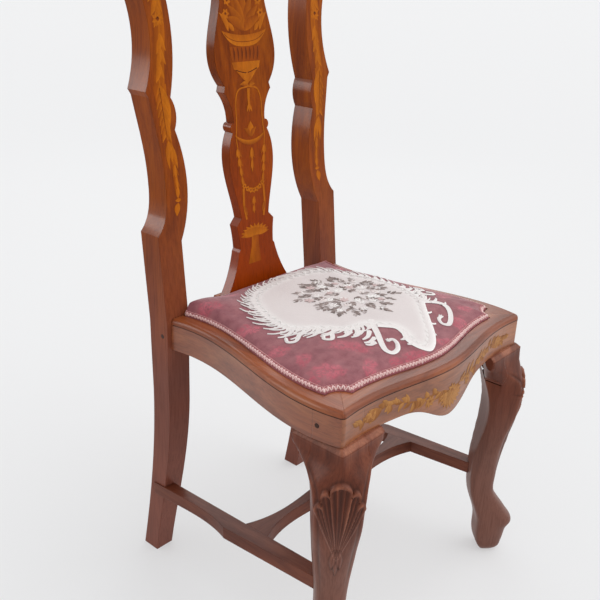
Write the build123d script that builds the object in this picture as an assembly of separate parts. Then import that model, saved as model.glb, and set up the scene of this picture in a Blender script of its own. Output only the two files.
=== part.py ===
from build123d import *
import math
import os

# High-back dining chair with a serpentine seat frame, cabriole front legs, an H-stretcher and a
# stuffed seat. Millimetres, +Z up, the chair faces -Y. Left and right are as seen from the front.
# While it is being built, Y runs back from the front corners of the seat frame; at the end the whole
# chair is moved so that its origin is on the floor, under the middle of its box.

# Seat frame in plan
front_half = 229.0        # half width across the front corners
rear_half = 198.0         # half width where the side rails meet the rear posts
seat_depth = 373.0        # front corners to the front faces of the rear posts
front_bow = 19.0          # how far the serpentine front swells at its middle
bow_turn = 135.0          # where the front curve comes back to the line of the corners
side_swell = 8.0          # how far each side swells beyond its front corner
swell_at = 62.0           # where it does so, back from the front corners
side_hollow = 6.5         # how far each side draws in before the rear posts
hollow_at = 318.0
corner_round = 7.0        # rounding of the two front corners

# Seat rails
rail_top = 456.0
rail_height = 43.0
front_rail_inner = 36.0   # inner face of the front rail, back from the front corners
side_rail_front = 57.0    # thickness of the side rails at the front and at the back
side_rail_rear = 48.0
back_rail_thick = 46.0
apron_drop = 33.0         # how far the shaped middle of the front rail hangs below the rails
apron_half = 105.0        # half the length of that shaped middle
tenon_thick = 14.0
tenon_inset = 5.0         # tenon narrower than its rail at the top and at the bottom
front_tenon = 28.0        # how far each tenon enters its mortise
side_tenon_front = 15.0
side_tenon_rear = 24.0
back_tenon = 11.0
back_tenon_in = 6.0       # back rail tenons, behind the front faces of the posts
back_rail_rear = 5.0      # back rail behind its tenons
glue_gap = 0.15           # room for glue round a tenon, peg or screw

# Rim, pad and gimp
rim_height = 9.0
rim_width = 24.0
rim_round = 7.0
notch_radius = 25.0       # scooped front corners of the pad
soft_gap = 0.3            # room between soft pieces and what holds them
gimp_thick = 2.6
gimp_reach = 16.0         # how high the gimp climbs the pad above the rails
gimp_tuck = 4.0           # how far it tucks down behind the rim
cover_thick = 1.5
pad_edge = 7.0            # upright edge of the pad above the rails
pad_crown = 27.0          # how far the middle of the pad stands above that edge
pad_back_gap = 1.0        # pad to splat shoe

# Front legs
stile = 46.0              # square corner stile and inner faces of the leg
ledge = 8.0               # how far the knee stands out from the rails
ledge_high = 9.0
ledge_slope = 5.0
knee_out = 22.0           # out from the corner, along the diagonal
knee_high = 335.0
ankle_out = -3.0
ankle_high = 160.0
ankle_depth = 47.0
ankle_half = 23.0         # half width across the diagonal
knee_half = 36.5
wing_half = 66.0          # the same at the ledge, with the knee brackets
toe_out = 40.0
toe_high = 64.0
toe_half = 27.0
sole_out = 16.0
sole_depth = 30.0
sole_half = 13.0
bracket_end = 83.0        # end of each knee bracket, from the corner
bracket_drop = 37.0       # height of the bracket beside the leg
bracket_thick = 30.0

# Rear posts
post_wide = 44.0
post_outer = 206.0
post_deep = 42.0
post_top = 968.0
rake = 0.1086             # how far the back leans for each unit of height
post_top_deep = 42.0
foot_wide = 34.0
foot_deep = 34.0
foot_sweep = 46.0         # how far the rear feet kick back
post_bend = 83.0          # where that begins, below the rails
break_high = 597.0        # shoulder where the waved part of the post begins
ear_high = 808.0
post_tenon = 24.0
post_tenon_wide = 26.0
post_tenon_thick = 16.0

# Splat, shoe and crest
splat_thick = 18.0
collar_rise = 80.0        # heights on the splat, each above the one before: collar above the rails,
belly_rise = 144.0        # then belly, bead, notch and widest part of the urn
bead_rise = 57.0
notch_rise = 66.0
urn_rise = 69.0
splat_foot_half = 80.0
splat_belly_half = 50.0
splat_urn_half = 64.0
splat_neck_half = 47.0
neck_drop = 46.0          # narrowest part of the neck, below the top of the splat
splat_tongue = 12.0
tongue_thick = 8.0
shoe_high = 10.0
shoe_half = 85.0
shoe_front_lip = 3.0      # shoe in front of the splat and behind it
shoe_rear_lip = 9.0
crest_high = 100.0
crest_thick = 42.0
crest_arch = 24.0         # how far the middle of the crest rises above its shoulders
shoulder_in = 44.0        # top of each shoulder and the dip beyond it, in from the posts' outer faces
dip_in = 120.0
crest_corner = 28.0       # how far the crest's round corners fall below its shoulders
crest_hollow = 16.0       # how far its underside is hollowed between splat and posts
hollow_out = 34.0         # ends of that hollow, from the posts and from the splat
hollow_in = 24.0
splat_rise = 17.0         # splat top above the post tops

# Stretchers
stretcher_top = 178.0     # top of the stretchers below the front corners
stretcher_thick = 21.0
stretcher_wide = 22.0
stretcher_fall = 0.077    # how far they drop for each unit of length towards the back
stretcher_front = 208.0   # middle of each side stretcher at the front and rear ends
stretcher_rear = 197.0
stretcher_step = 236.0    # where the side stretcher steps in, back from the front corners
step_in = 8.0
cross_at = 186.0          # middle of the cross stretcher
cross_waist = 19.0
cross_flare = 50.0
cross_swell = 30.0
stretcher_tenon = 16.0
stretcher_shoulder = 5.0  # tenon smaller than its stretcher all round
cross_tenon = 8.0

# Fasteners and seat webbing
peg_radius = 3.5
screw_radius = 2.2
screw_head = 4.6
screw_long = 38.0
screw_bite = 20.0         # how far each screw enters its rail
screw_offset = 8.0        # the two screws of a block, above and below its middle
block_leg = 68.0
block_margin = 5.0        # block shorter than the rail at the top and at the bottom
strap_wide = 50.0
strap_thick = 1.2
strap_pitch = 92.0
strap_lap = 6.0           # how far each strap lies on its rail
hessian_thick = 0.8
tack_radius = 0.9
tack_head = 2.6
tack_head_thick = 0.8
tack_long = 9.0

rail_bottom = rail_top - rail_height
rail_inner_front = front_half - side_rail_front
rail_inner_rear = rear_half - side_rail_rear
rim_top = rail_top + rim_height
post_inner = post_outer - post_wide
stile_at = front_half - stile
pad_inset = rim_width + soft_gap + gimp_thick
shoe_front = seat_depth - shoe_front_lip
pad_back = shoe_front - pad_back_gap
crest_top = post_top + crest_high
back_rail_front = seat_depth + back_tenon_in + tenon_thick + back_rail_rear - back_rail_thick
reach = 600.0             # long enough to cut right through the chair


def back_line(z):
    return seat_depth + rake * (z - rail_top)


def outline(inset=0.0, back=seat_depth):
    """Plan of the seat frame, drawn in by an inset."""
    corner = (front_half - inset, inset)
    rear = (rear_half - inset, back)
    turn = bow_turn * corner[0] / front_half
    length = (back - inset) / seat_depth
    front_edge = Spline(
        (-corner[0], corner[1]), (-turn, inset), (0, inset - front_bow), (turn, inset), corner
    )
    side_points = [
        corner,
        (front_half + side_swell - inset, inset + swell_at * length),
        (rear_half - side_hollow - inset, inset + hollow_at * length),
        rear,
    ]
    right_edge = Spline(*side_points)
    left_edge = Spline(*[(-x, y) for x, y in side_points])
    return make_face([front_edge, right_edge, Line(rear, (-rear[0], back)), left_edge])


def prism(face, low, high):
    return extrude(Pos(0, 0, low) * face, high - low)


def block(x0, x1, y0, y1, z0, z1):
    middle = Pos((x0 + x1) / 2, (y0 + y1) / 2, (z0 + z1) / 2)
    return middle * Box(abs(x1 - x0), abs(y1 - y0), abs(z1 - z0))


def layer(low, high):
    return block(-reach, reach, -reach, reach, low, high)


def sawn(edges, direction):
    """A profile cut right through the stock, both ways along a direction."""
    return extrude(make_face(edges), amount=reach, dir=direction, both=True)


def in_front(points):
    return [(x, 0, z) for x, z in points]


def in_side(points):
    return [(0, y, z) for y, z in points]


def mirrored(part):
    return mirror(part, about=Plane.YZ)


def rod(radius, start, direction, length):
    return extrude(Plane(origin=start, z_dir=direction) * Circle(radius), length)


# Rear posts

def post_front_edges():
    """Front view of the right post and leg."""
    top_outer = (post_outer, post_top)
    top_inner = (post_inner - 2, post_top)
    ear = (post_outer - 2.5, ear_high)
    ear_under = (ear[0] - 5, ear_high - 8)
    shoulder_out = (post_outer, break_high)
    shoulder_in = (post_inner, break_high - 14)
    bump_top = (post_inner - 3, ear_high - 11)
    bump_mid = (bump_top[0] - 8, ear_high - 35)
    bump_low = (bump_top[0] - 3, ear_high - 58)
    belly = break_high + 62
    foot_outer = (post_outer - 2, 0)
    foot_inner = (foot_outer[0] - foot_wide, 0)
    upper = (ear_high + post_top) / 2 - 32
    hollow = [
        shoulder_out, (post_outer - 18, break_high + 29), (post_outer - 23, belly + 8),
        (post_outer - 22, belly + 42), ear_under,
    ]
    swell = [bump_low, (post_inner - 20, belly + 30), (post_inner - 20, belly - 8), shoulder_in]
    bend = (post_inner, rail_bottom - post_bend)
    return [
        Line(*in_front([foot_inner, foot_outer])),
        Line(*in_front([foot_outer, (post_outer, rail_bottom)])),
        Line(*in_front([(post_outer, rail_bottom), shoulder_out])),
        Spline(*in_front(hollow)),
        Line(*in_front([ear_under, ear])),
        Spline(*in_front([ear, (post_outer - 17, upper), top_outer])),
        Line(*in_front([top_outer, top_inner])),
        Spline(*in_front([top_inner, (post_inner - 14, upper), bump_top])),
        ThreePointArc(*in_front([bump_top, bump_mid, bump_low])),
        Spline(*in_front(swell)),
        Line(*in_front([shoulder_in, bend])),
        Line(*in_front([bend, foot_inner])),
    ]


def post_side_edges():
    """Side view: upright at the seat, leaning back above it and kicking back below it."""
    bend = rail_bottom - post_bend
    front_low = (seat_depth + foot_sweep, 0)
    rear_low = (front_low[0] + foot_deep, 0)
    front_bend = (seat_depth, bend)
    rear_bend = (seat_depth + post_deep - 3, bend)
    front_seat = (seat_depth, rail_top)
    rear_seat = (seat_depth + post_deep, rail_top)
    front_top = (back_line(post_top), post_top)
    rear_top = (front_top[0] + post_top_deep, post_top)
    front_leg = [
        front_low,
        (seat_depth + foot_sweep * 0.64, bend * 0.27),
        (seat_depth + foot_sweep * 0.2, bend * 0.6),
    ]
    rear_leg = [rear_low, (rear_bend[0] + 19, bend * 0.36), (rear_bend[0] + 5, bend * 0.69)]
    return [
        Spline(*in_side(front_leg + [front_bend])),
        Line(*in_side([front_bend, front_seat])),
        Line(*in_side([front_seat, front_top])),
        Line(*in_side([front_top, rear_top])),
        Line(*in_side([rear_top, rear_seat])),
        Line(*in_side([rear_seat, rear_bend])),
        Spline(*in_side([rear_bend] + rear_leg[::-1])),
        Line(*in_side([rear_low, front_low])),
    ]


def post_blank():
    return sawn(post_front_edges(), (0, 1, 0)) & sawn(post_side_edges(), (1, 0, 0))


def post_tenon_block(gap=0.0):
    middle = (post_outer + post_inner - 2) / 2
    front = back_line(post_top) + (post_top_deep - post_tenon_thick) / 2
    return block(
        middle - post_tenon_wide / 2 - gap, middle + post_tenon_wide / 2 + gap,
        front - gap, front + post_tenon_thick + gap,
        post_top - 1, post_top + post_tenon + 4 * gap,
    )


# Seat rails and their tenons

def tenon_z(gap=0.0):
    return rail_bottom + tenon_inset - gap, rail_top - tenon_inset + gap


def front_tenon_block(gap=0.0):
    low, high = tenon_z(gap)
    front = stile / 4
    return block(
        stile_at - 1, stile_at + front_tenon + 4 * gap,
        front - gap, front + tenon_thick + gap, low, high,
    )


side_tenon_x = stile_at + stile * 0.32
rear_tenon_x = post_inner + post_wide * 0.32


def side_tenon_block(gap=0.0):
    low, high = tenon_z(gap)
    front = block(
        side_tenon_x - gap, side_tenon_x + tenon_thick + gap,
        stile - side_tenon_front - 4 * gap, stile + 1, low, high,
    )
    rear = block(
        rear_tenon_x - gap, rear_tenon_x + tenon_thick + gap,
        seat_depth - 1, seat_depth + side_tenon_rear + 4 * gap, low, high,
    )
    return front + rear


def back_tenon_block(gap=0.0):
    low, high = tenon_z(gap)
    return block(
        post_inner - 1, post_inner + back_tenon + 4 * gap,
        seat_depth + back_tenon_in - gap, seat_depth + back_tenon_in + tenon_thick + gap, low, high,
    )


def rounded_slab(grow, low, high):
    """Slab in the plan of the seat frame with its two front corners rounded."""
    slab = prism(outline(-grow), low, high)
    return fillet(slab.edges().filter_by(Axis.Z).sort_by(Axis.Y)[:2], corner_round)


def frame_slab():
    return rounded_slab(0, rail_bottom - apron_drop - 1, rail_top)


def side_inner(y):
    """Straight inner face of the side rails, from the stile to the rear post."""
    return rail_inner_front + (rail_inner_rear - rail_inner_front) * (y - stile) / (seat_depth - stile)


def make_side_rail():
    corners = [
        (side_inner(stile), stile), (reach, stile),
        (reach, seat_depth), (side_inner(seat_depth), seat_depth),
    ]
    plan = make_face(Polyline(*corners, close=True))
    rail = frame_slab() & prism(plan, rail_bottom, rail_top)
    return rail + side_tenon_block()


def make_front_rail():
    low = rail_bottom - apron_drop
    turn = (apron_half, rail_bottom)
    drop = Spline(
        *in_front([(-turn[0], turn[1]), (-apron_half * 0.56, rail_bottom - apron_drop * 0.3), (0, low),
                   (apron_half * 0.56, rail_bottom - apron_drop * 0.3), turn]),
        tangents=[(1, 0, 0), (1, 0, 0)],
    )
    rest = Polyline(
        *in_front([turn, (stile_at, rail_bottom), (stile_at, rail_top), (-stile_at, rail_top),
                   (-stile_at, rail_bottom), (-turn[0], turn[1])])
    )
    rail = frame_slab() & sawn(drop.edges() + rest.edges(), (0, 1, 0))
    rail = rail & block(-reach, reach, -reach, front_rail_inner, 0, reach)
    tenon = front_tenon_block()
    return rail + tenon + mirrored(tenon)


def make_back_rail():
    rear = back_rail_front + back_rail_thick
    rail = block(-post_inner, post_inner, seat_depth, rear, rail_bottom, rail_top)
    between = make_face(Polyline(
        (-side_inner(back_rail_front), back_rail_front), (side_inner(back_rail_front), back_rail_front),
        (rail_inner_rear, seat_depth), (-rail_inner_rear, seat_depth), close=True,
    ))
    tenon = back_tenon_block()
    return rail + prism(between, rail_bottom, rail_top) + tenon + mirrored(tenon)


# Front legs and knee brackets

def ledge_slab(low):
    slab = rounded_slab(ledge, low, rail_bottom)
    top = slab.faces().sort_by(Axis.Z)[-1]
    shown = top.edges().sort_by(Axis.Y)[:-1]
    return chamfer(shown, ledge_slope)


def leg_outer(out, top_out, side_share):
    """Outer curve of the leg from the rails to the toe; out shifts it, side_share widens it."""
    return [
        (top_out, rail_bottom),
        (top_out, rail_bottom - 16),
        (knee_out + side_share, knee_high + 14),
        (knee_out - 1 + side_share, knee_high - 32),
        (ankle_out + 12 + side_share * 0.6, (knee_high + ankle_high) / 2 - 6),
        (ankle_out + out, ankle_high),
        (ankle_out + out + 1, ankle_high - 33),
        (toe_out - 13 + out * 0.3, toe_high + 20),
        (toe_out, toe_high),
    ]


def foot_outer(toe):
    return [toe, (toe[0] - 8, toe[1] - 13), (sole_out + 12, toe_high * 0.36), (sole_out + 8, 8), (sole_out, 0)]


def leg_face():
    """Blank whose outer side is the curve of the knee, leg and foot as seen from the front."""
    across = leg_outer(12.0, ledge, 13.0)
    low = foot_outer(across[-1])
    square = [
        Spline(*in_front(across)),
        Spline(*in_front(low)),
        Polyline(*in_front([low[-1], (-stile, 0), (-stile, rail_bottom), across[0]])),
    ]
    return sawn([edge for part in square for edge in part.edges()], (0, 1, 0))


def leg_widths():
    """Blank as wide as the leg across its diagonal, spreading at the top into the knee brackets."""
    width = [
        (wing_half, rail_bottom),
        (wing_half - 4, rail_bottom - 11),
        (knee_half + 18, rail_bottom - 25),
        (knee_half + 9, rail_bottom - 37),
        (knee_half + 3, rail_bottom - 53),
        (knee_half, knee_high),
        (knee_half - 2, knee_high - 49),
        ((knee_half + ankle_half) / 2 + 1, knee_high - 99),
        (ankle_half, ankle_high - 20),
        (toe_half, toe_high),
        (toe_half - 2, toe_high * 0.4),
        (sole_half + 8, 8),
        (sole_half, 0),
    ]
    other = [(-half, z) for half, z in width]
    edges = [
        Spline(*in_side(width)),
        Line(*in_side([width[-1], other[-1]])),
        Spline(*in_side(other[::-1])),
        Line(*in_side([other[0], width[0]])),
    ]
    return Rot(Z=-45) * sawn(edges, (1, 0, 0))


def leg_blank():
    """Right leg, sawn from the front, from the side and along its diagonal, set at the front corner."""
    ridge = leg_outer(0.0, ledge * 1.5, 0.0)
    sole = foot_outer(ridge[-1])
    sole_in = (sole_out - sole_depth, 0)
    back_top = (-stile * 1.45, rail_bottom)
    back = [
        sole_in,
        (sole_in[0] - 7, 12),
        (sole_in[0] - 15, toe_high + 6),
        (ankle_out - ankle_depth + 4, ankle_high - 38),
        (ankle_out - ankle_depth, ankle_high + 8),
        (ankle_out - ankle_depth + 10, knee_high - 15),
        (back_top[0] + 12, rail_bottom - 42),
        back_top,
    ]
    diagonal = [
        Spline(*in_front(ridge)),
        Spline(*in_front(sole)),
        Line(*in_front([sole[-1], sole_in])),
        Spline(*in_front(back)),
        Line(*in_front([back_top, ridge[0]])),
    ]
    turned = Rot(Z=-45) * sawn(diagonal, (0, 1, 0)) & leg_widths()
    leg = leg_face() & (Rot(Z=-90) * leg_face()) & turned
    leg = Pos(front_half, 0, 0) * leg
    corner = block(stile_at, reach, -reach, stile, rail_bottom - ledge_high, rail_bottom)
    upper = block(stile_at, reach, -reach, stile, rail_bottom - 1, rail_top)
    return leg + (ledge_slab(rail_bottom - ledge_high) & corner) + (frame_slab() & upper)


def bracket_profile(sign, at):
    """Side of a knee bracket, deep beside the leg and running out under the ledge."""
    near, far = at - sign * stile, at - sign * bracket_end
    low, deep = rail_bottom - ledge_high, rail_bottom - bracket_drop
    middle = (near + (far - near) * 0.44, low - (low - deep) * 0.6)
    edges = [
        Line(*in_front([(near, low), (far, low)])),
        ThreePointArc(*in_front([(far, low), middle, (near, deep)])),
        Line(*in_front([(near, deep), (near, low)])),
    ]
    return sawn(edges, (0, 1, 0))


def knee_bracket(face, profile, room):
    """Bracket that carries the knee's face on beside the leg, with the ledge on top of it."""
    wing = Pos(front_half, 0, 0) * face & profile & room
    return wing + (ledge_slab(rail_bottom - ledge_high) & room)


def make_front_bracket():
    room = block(front_half - bracket_end, stile_at, -reach, bracket_thick - ledge, 0, reach)
    return knee_bracket(Rot(Z=-90) * leg_face(), bracket_profile(1, front_half), room)


def make_side_bracket():
    inner = front_half + side_swell + ledge - bracket_thick
    room = block(inner, reach, stile, bracket_end, 0, reach)
    return knee_bracket(leg_face(), Rot(Z=90) * bracket_profile(-1, 0), room)


# Back: crest, splat and shoe

def back_slab(front, thick, low, high):
    """A leaning board whose front lies behind the front faces of the posts."""
    start, stop = back_line(low) + front, back_line(high) + front
    corners = [(start, low), (stop, high), (stop + thick, high), (start + thick, low)]
    return sawn(Polyline(*in_side(corners), close=True).edges(), (1, 0, 0))


splat_top = post_top + splat_rise
splat_low = rail_top + shoe_high * 0.4


def splat_half_edges():
    """Right edge of the splat from the shoe to the crest: flare, collar, belly, bead and urn."""
    collar = rail_top + collar_rise
    belly = collar + belly_rise
    bead = belly + bead_rise
    notch = bead + notch_rise
    urn = notch + urn_rise
    neck = splat_neck_half
    flare = [(splat_foot_half, splat_low), (splat_foot_half - 27, collar - 32), (neck - 5, collar)]
    swell = [
        (neck - 15, collar + 55), (splat_belly_half - 7, belly - 40),
        (splat_belly_half, belly), (neck - 8, bead - 6),
    ]
    vase = [(neck + 2, notch), (splat_urn_half, urn), (neck, splat_top - neck_drop), (neck + 9, splat_top)]
    return [
        Spline(*in_front(flare)),
        Line(*in_front([(neck - 5, collar), (neck - 8, collar + 4)])),
        Spline(*in_front([(neck - 8, collar + 4), (neck - 7, collar + 24), (neck - 4, collar + 44)])),
        Line(*in_front([(neck - 4, collar + 44), (neck - 15, collar + 55)])),
        Spline(*in_front(swell)),
        ThreePointArc(*in_front([(neck - 8, bead - 6), (neck - 4, bead + 2), (neck - 12, bead + 9)])),
        Spline(*in_front([(neck - 12, bead + 9), (neck - 11, bead + 24), (neck + 5, notch - 9)])),
        Line(*in_front([(neck + 5, notch - 9), (neck + 2, notch)])),
        Spline(*in_front(vase)),
    ]


def splat_tongue_block(gap=0.0):
    wide = splat_neck_half - 6 + gap
    front = (splat_thick - tongue_thick) / 2 - gap
    high = splat_top + splat_tongue + 4 * gap
    slab = back_slab(front, tongue_thick + 2 * gap, splat_top - 1, high)
    return slab & block(-wide, wide, -reach, 2 * reach, 0, 2 * reach)


def make_splat():
    right = splat_half_edges()
    left = [mirror(edge, about=Plane.YZ) for edge in right]
    half_top = splat_neck_half + 9
    edges = [e for part in right + left for e in part.edges()]
    edges.append(Line((splat_foot_half, 0, splat_low), (-splat_foot_half, 0, splat_low)))
    edges.append(Line((half_top, 0, splat_top), (-half_top, 0, splat_top)))
    board = sawn(edges, (0, 1, 0)) & back_slab(0, splat_thick, splat_low, splat_top)
    return board + splat_tongue_block()


def make_shoe():
    """Moulded block under the splat, sloped at its ends and open for the splat's foot."""
    rear = seat_depth + splat_thick + shoe_rear_lip
    shoe = block(-shoe_half, shoe_half, shoe_front, rear, rail_top, rail_top + shoe_high)
    ends = shoe.faces().sort_by(Axis.Z)[-1].edges().filter_by(Axis.Y)
    shoe = chamfer(ends, shoe_high * 0.5, shoe_high * 0.3)
    socket = back_slab(-glue_gap, splat_thick + 2 * glue_gap, splat_low, rail_top + shoe_high + 1)
    return shoe - (socket & block(-splat_foot_half, splat_foot_half, 0, reach, 0, reach))


def make_crest():
    """Yoke-shaped top rail: round shoulders over the posts and an arch at the middle."""
    outer = (post_outer, post_top)
    inner = (post_inner - 2, post_top)
    shoulder = crest_top - crest_arch
    half_top = splat_neck_half + 9
    top_half = [
        outer, (post_outer - 9, shoulder - crest_corner),
        (post_outer - shoulder_in, shoulder), (post_outer - dip_in, shoulder + 3),
    ]
    low = [
        inner, (inner[0] - hollow_out, splat_top + crest_hollow),
        (half_top + hollow_in, splat_top + crest_hollow), (half_top, splat_top),
    ]
    top_edge = Spline(*in_front(top_half + [(0, crest_top)] + [(-x, z) for x, z in top_half[::-1]]))
    edges = list(top_edge.edges())
    for side in (1, -1):
        edges.append(Line((side * outer[0], 0, post_top), (side * inner[0], 0, post_top)))
        edges += Spline(*in_front([(side * x, z) for x, z in low])).edges()
    edges.append(Line((half_top, 0, splat_top), (-half_top, 0, splat_top)))
    crest = sawn(edges, (0, 1, 0)) & back_slab(0, crest_thick, post_top - 1, crest_top + 1)
    socket = post_tenon_block(glue_gap)
    return crest - socket - mirrored(socket) - splat_tongue_block(glue_gap)


# Stretchers, drawn level and then tilted together about the line of the front corners

def tilted(part):
    angle = -math.degrees(math.atan(stretcher_fall))
    return Pos(0, 0, stretcher_top) * Rot(X=angle) * part


def stretcher_line(y):
    return stretcher_front + (stretcher_rear - stretcher_front) * y / seat_depth


def side_stretcher_plan():
    half = stretcher_wide / 2
    end = seat_depth + foot_sweep
    step = stretcher_step
    out = stretcher_line(step) + half + step_in
    rear = end - 90
    curve = [
        (out, step - 4), (out - step_in, step + 26),
        (stretcher_line(rear) + half - 3, rear), (stretcher_line(end) + half, end),
    ]
    outer = [Line((stretcher_line(0) + half, 0), curve[0]), Spline(*curve)]
    inner = [
        Line((stretcher_line(end) + half, end), (stretcher_line(end) - half, end)),
        Line((stretcher_line(end) - half, end), (stretcher_line(0) - half, 0)),
        Line((stretcher_line(0) - half, 0), (stretcher_line(0) + half, 0)),
    ]
    return make_face(outer + inner)


def stretcher_tenons(gap=0.0):
    half = stretcher_wide / 2 - stretcher_shoulder + gap
    low, high = stretcher_shoulder - stretcher_thick - gap, gap - stretcher_shoulder
    face = seat_depth + foot_sweep * 0.27
    front_x, rear_x = stretcher_line(stile), stretcher_line(face)
    front_end = stile - 4 - stretcher_tenon - 4 * gap
    rear_end = face + 4 + stretcher_tenon + 4 * gap
    front = block(front_x - half, front_x + half, front_end, stile + 12, low, high)
    rear = block(rear_x - half, rear_x + half, face - 12, rear_end, low, high)
    return tilted(front + rear)


def cross_tenon_block(gap=0.0):
    inner = stretcher_line(cross_at) - stretcher_wide / 2
    half = cross_flare / 2 - 9 + gap
    low, high = stretcher_shoulder - stretcher_thick - gap, gap - stretcher_shoulder
    end = inner + cross_tenon + 4 * gap
    return tilted(block(inner - 2, end, cross_at - half, cross_at + half, low, high))


def side_stretcher_blank():
    return tilted(prism(side_stretcher_plan(), -stretcher_thick, 0))


def make_cross_stretcher(sides):
    end = stretcher_line(cross_at)
    flare, waist, swell = cross_flare / 2, cross_waist / 2, cross_swell / 2
    bend = end - stretcher_wide / 2 - 52
    edges = []
    for side in (1, -1):
        half = [(-end, flare + 6), (-end + stretcher_wide / 2, flare), (-bend, waist), (0, swell)]
        points = [(x, cross_at + side * y) for x, y in half + [(-x, y) for x, y in half[-2::-1]]]
        edges += Spline(*points).edges()
        edges.append(Line((side * end, cross_at - flare - 6), (side * end, cross_at + flare + 6)))
    board = tilted(prism(make_face(edges), -stretcher_thick, 0))
    for part in sides:
        board = board - part
    board = board.solids().sort_by(SortBy.VOLUME)[-1]
    tenon = cross_tenon_block()
    return board + tenon + mirrored(tenon)


# Pegs, corner blocks and screws

peg_z = (rail_bottom + rail_top) / 2
peg_front_y = stile - side_tenon_front / 2
peg_rear_y = seat_depth + side_tenon_rear / 2


def pegs(gap=0.0):
    """Pegs through the tenons of the right side rail, driven in from outside."""
    front = rod(peg_radius + gap, (side_tenon_x - 4 - gap, peg_front_y, peg_z), (1, 0, 0), reach)
    rear = rod(peg_radius + gap, (rear_tenon_x - 2 - gap, peg_rear_y, peg_z), (1, 0, 0), reach)
    return front & frame_slab(), rear & block(0, post_outer, 0, reach, 0, reach)


def front_block():
    end = front_rail_inner + block_leg
    points = [
        (stile_at - block_leg, front_rail_inner), (stile_at, front_rail_inner),
        (stile_at, stile), (side_inner(stile), stile), (side_inner(end), end),
    ]
    face = make_face(Polyline(*points, close=True))
    return prism(face, rail_bottom + block_margin, rail_top - block_margin)


def rear_block():
    end = back_rail_front - block_leg
    corner = side_inner(back_rail_front)
    points = [(corner - block_leg, back_rail_front), (corner, back_rail_front), (side_inner(end), end)]
    face = make_face(Polyline(*points, close=True))
    return prism(face, rail_bottom + block_margin, rail_top - block_margin)


def screw(start, direction, gap=0.0, pocket=0.0):
    """Countersunk screw whose head lies at the start; a pocket clears the way for the driver."""
    shank = rod(screw_radius + gap, start, direction, screw_long + gap)
    plane = Plane(origin=start, z_dir=direction)
    head = extrude(plane * Circle(screw_head + gap), screw_head - screw_radius, taper=45)
    body = shank + head
    if pocket:
        body = body + rod(screw_head + 1, start, [-value for value in direction], pocket)
    return body


def corner_screws(gap=0.0, pocket=0.0):
    """Two screws in each right-hand corner block, one into each rail."""
    z = (rail_bottom + rail_top) / 2
    back = screw_long - screw_bite
    share = block_leg * 0.42
    found = []
    for rail_y, toward in ((front_rail_inner, -1), (back_rail_front, 1)):
        side_y = rail_y - toward * share
        across = side_inner(rail_y) - share
        found.append(screw((across, rail_y - toward * back, z - screw_offset), (0, toward, 0), gap, pocket))
        found.append(screw((side_inner(side_y) - back, side_y, z + screw_offset), (1, 0, 0), gap, pocket))
    return found


# Soft seat

def notch(side, radius):
    """Round scoop at a front corner of the pad."""
    return Pos(side * (front_half - rim_width), rim_width, rail_top) * Cylinder(radius, reach)


def pad_shape(inset, lift, base):
    """Crowned pad: upright edge, then sides drawn in towards a low crown, with scooped front corners."""
    edge = rail_top + pad_edge + lift
    body = prism(outline(inset, pad_back), base, edge)
    crown = [(0.0, 0.0), (10.0, 0.40), (36.0, 0.74), (76.0, 0.94), (120.0, 1.0)]
    faces = []
    for draw, share in crown:
        faces.append(Pos(0, 0, edge + pad_crown * share) * outline(inset + draw, pad_back - draw))
    body = body + loft(faces)
    radius = notch_radius + inset - rim_width
    for side in (1, -1):
        body = body - notch(side, radius)
    return body


def make_rims():
    slab = rounded_slab(0, rail_top, rim_top)
    top = slab.faces().sort_by(Axis.Z)[-1]
    slab = fillet(top.edges().sort_by(Axis.Y)[:-1], rim_round)
    hole = prism(outline(rim_width, pad_back), rail_top - 1, rim_top + 1)
    rear = rear_half - rim_width
    hole = hole + block(-rear, rear, pad_back - 1, reach, rail_top - 1, rim_top + 1)
    for side in (1, -1):
        hole = hole - notch(side, notch_radius)
    ring = slab - hole
    miter = Plane(origin=(front_half, 0, 0), z_dir=(1, 1, 0))
    side = split(ring, bisect_by=miter, keep=Keep.TOP) & block(0, reach, -reach, reach, 0, reach)
    front = split(ring, bisect_by=miter, keep=Keep.BOTTOM)
    other_miter = Plane(origin=(-front_half, 0, 0), z_dir=(-1, 1, 0))
    front = split(front, bisect_by=other_miter, keep=Keep.BOTTOM)
    return front, side


def strap_places(count):
    return [strap_pitch * (i - (count - 1) / 2) for i in range(count)]


strap_front = front_rail_inner - strap_lap
strap_rear = back_rail_front + strap_lap
cross_middle = (front_rail_inner + back_rail_front) / 2


def make_straps():
    long_top = rail_top + strap_thick
    long = [
        block(x - strap_wide / 2, x + strap_wide / 2, strap_front, strap_rear, rail_top, long_top)
        for x in strap_places(3)
    ]
    cross = []
    for offset in strap_places(3):
        y = cross_middle + offset
        low, high = y - strap_wide / 2, y + strap_wide / 2
        half = side_inner(high) + strap_lap
        cross.append(block(-half, half, low, high, long_top, long_top + strap_thick))
    return long, cross


def tacks(gap=0.0):
    """Tacks through the ends of the long straps, into the front and back rails."""
    found = []
    top = rail_top + strap_thick
    for x in strap_places(3):
        for offset in (-strap_wide * 0.3, 0, strap_wide * 0.3):
            for y in (strap_front + 5, strap_rear - 5):
                shank = rod(tack_radius + gap, (x + offset, y, top), (0, 0, -1), tack_long + gap)
                found.append(shank + rod(tack_head, (x + offset, y, top), (0, 0, 1), tack_head_thick))
    return found


def both_sides(parts):
    return list(parts) + [mirrored(part) for part in parts]


def cut_all(part, tools):
    for tool in tools:
        part = part - tool
    return part


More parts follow.
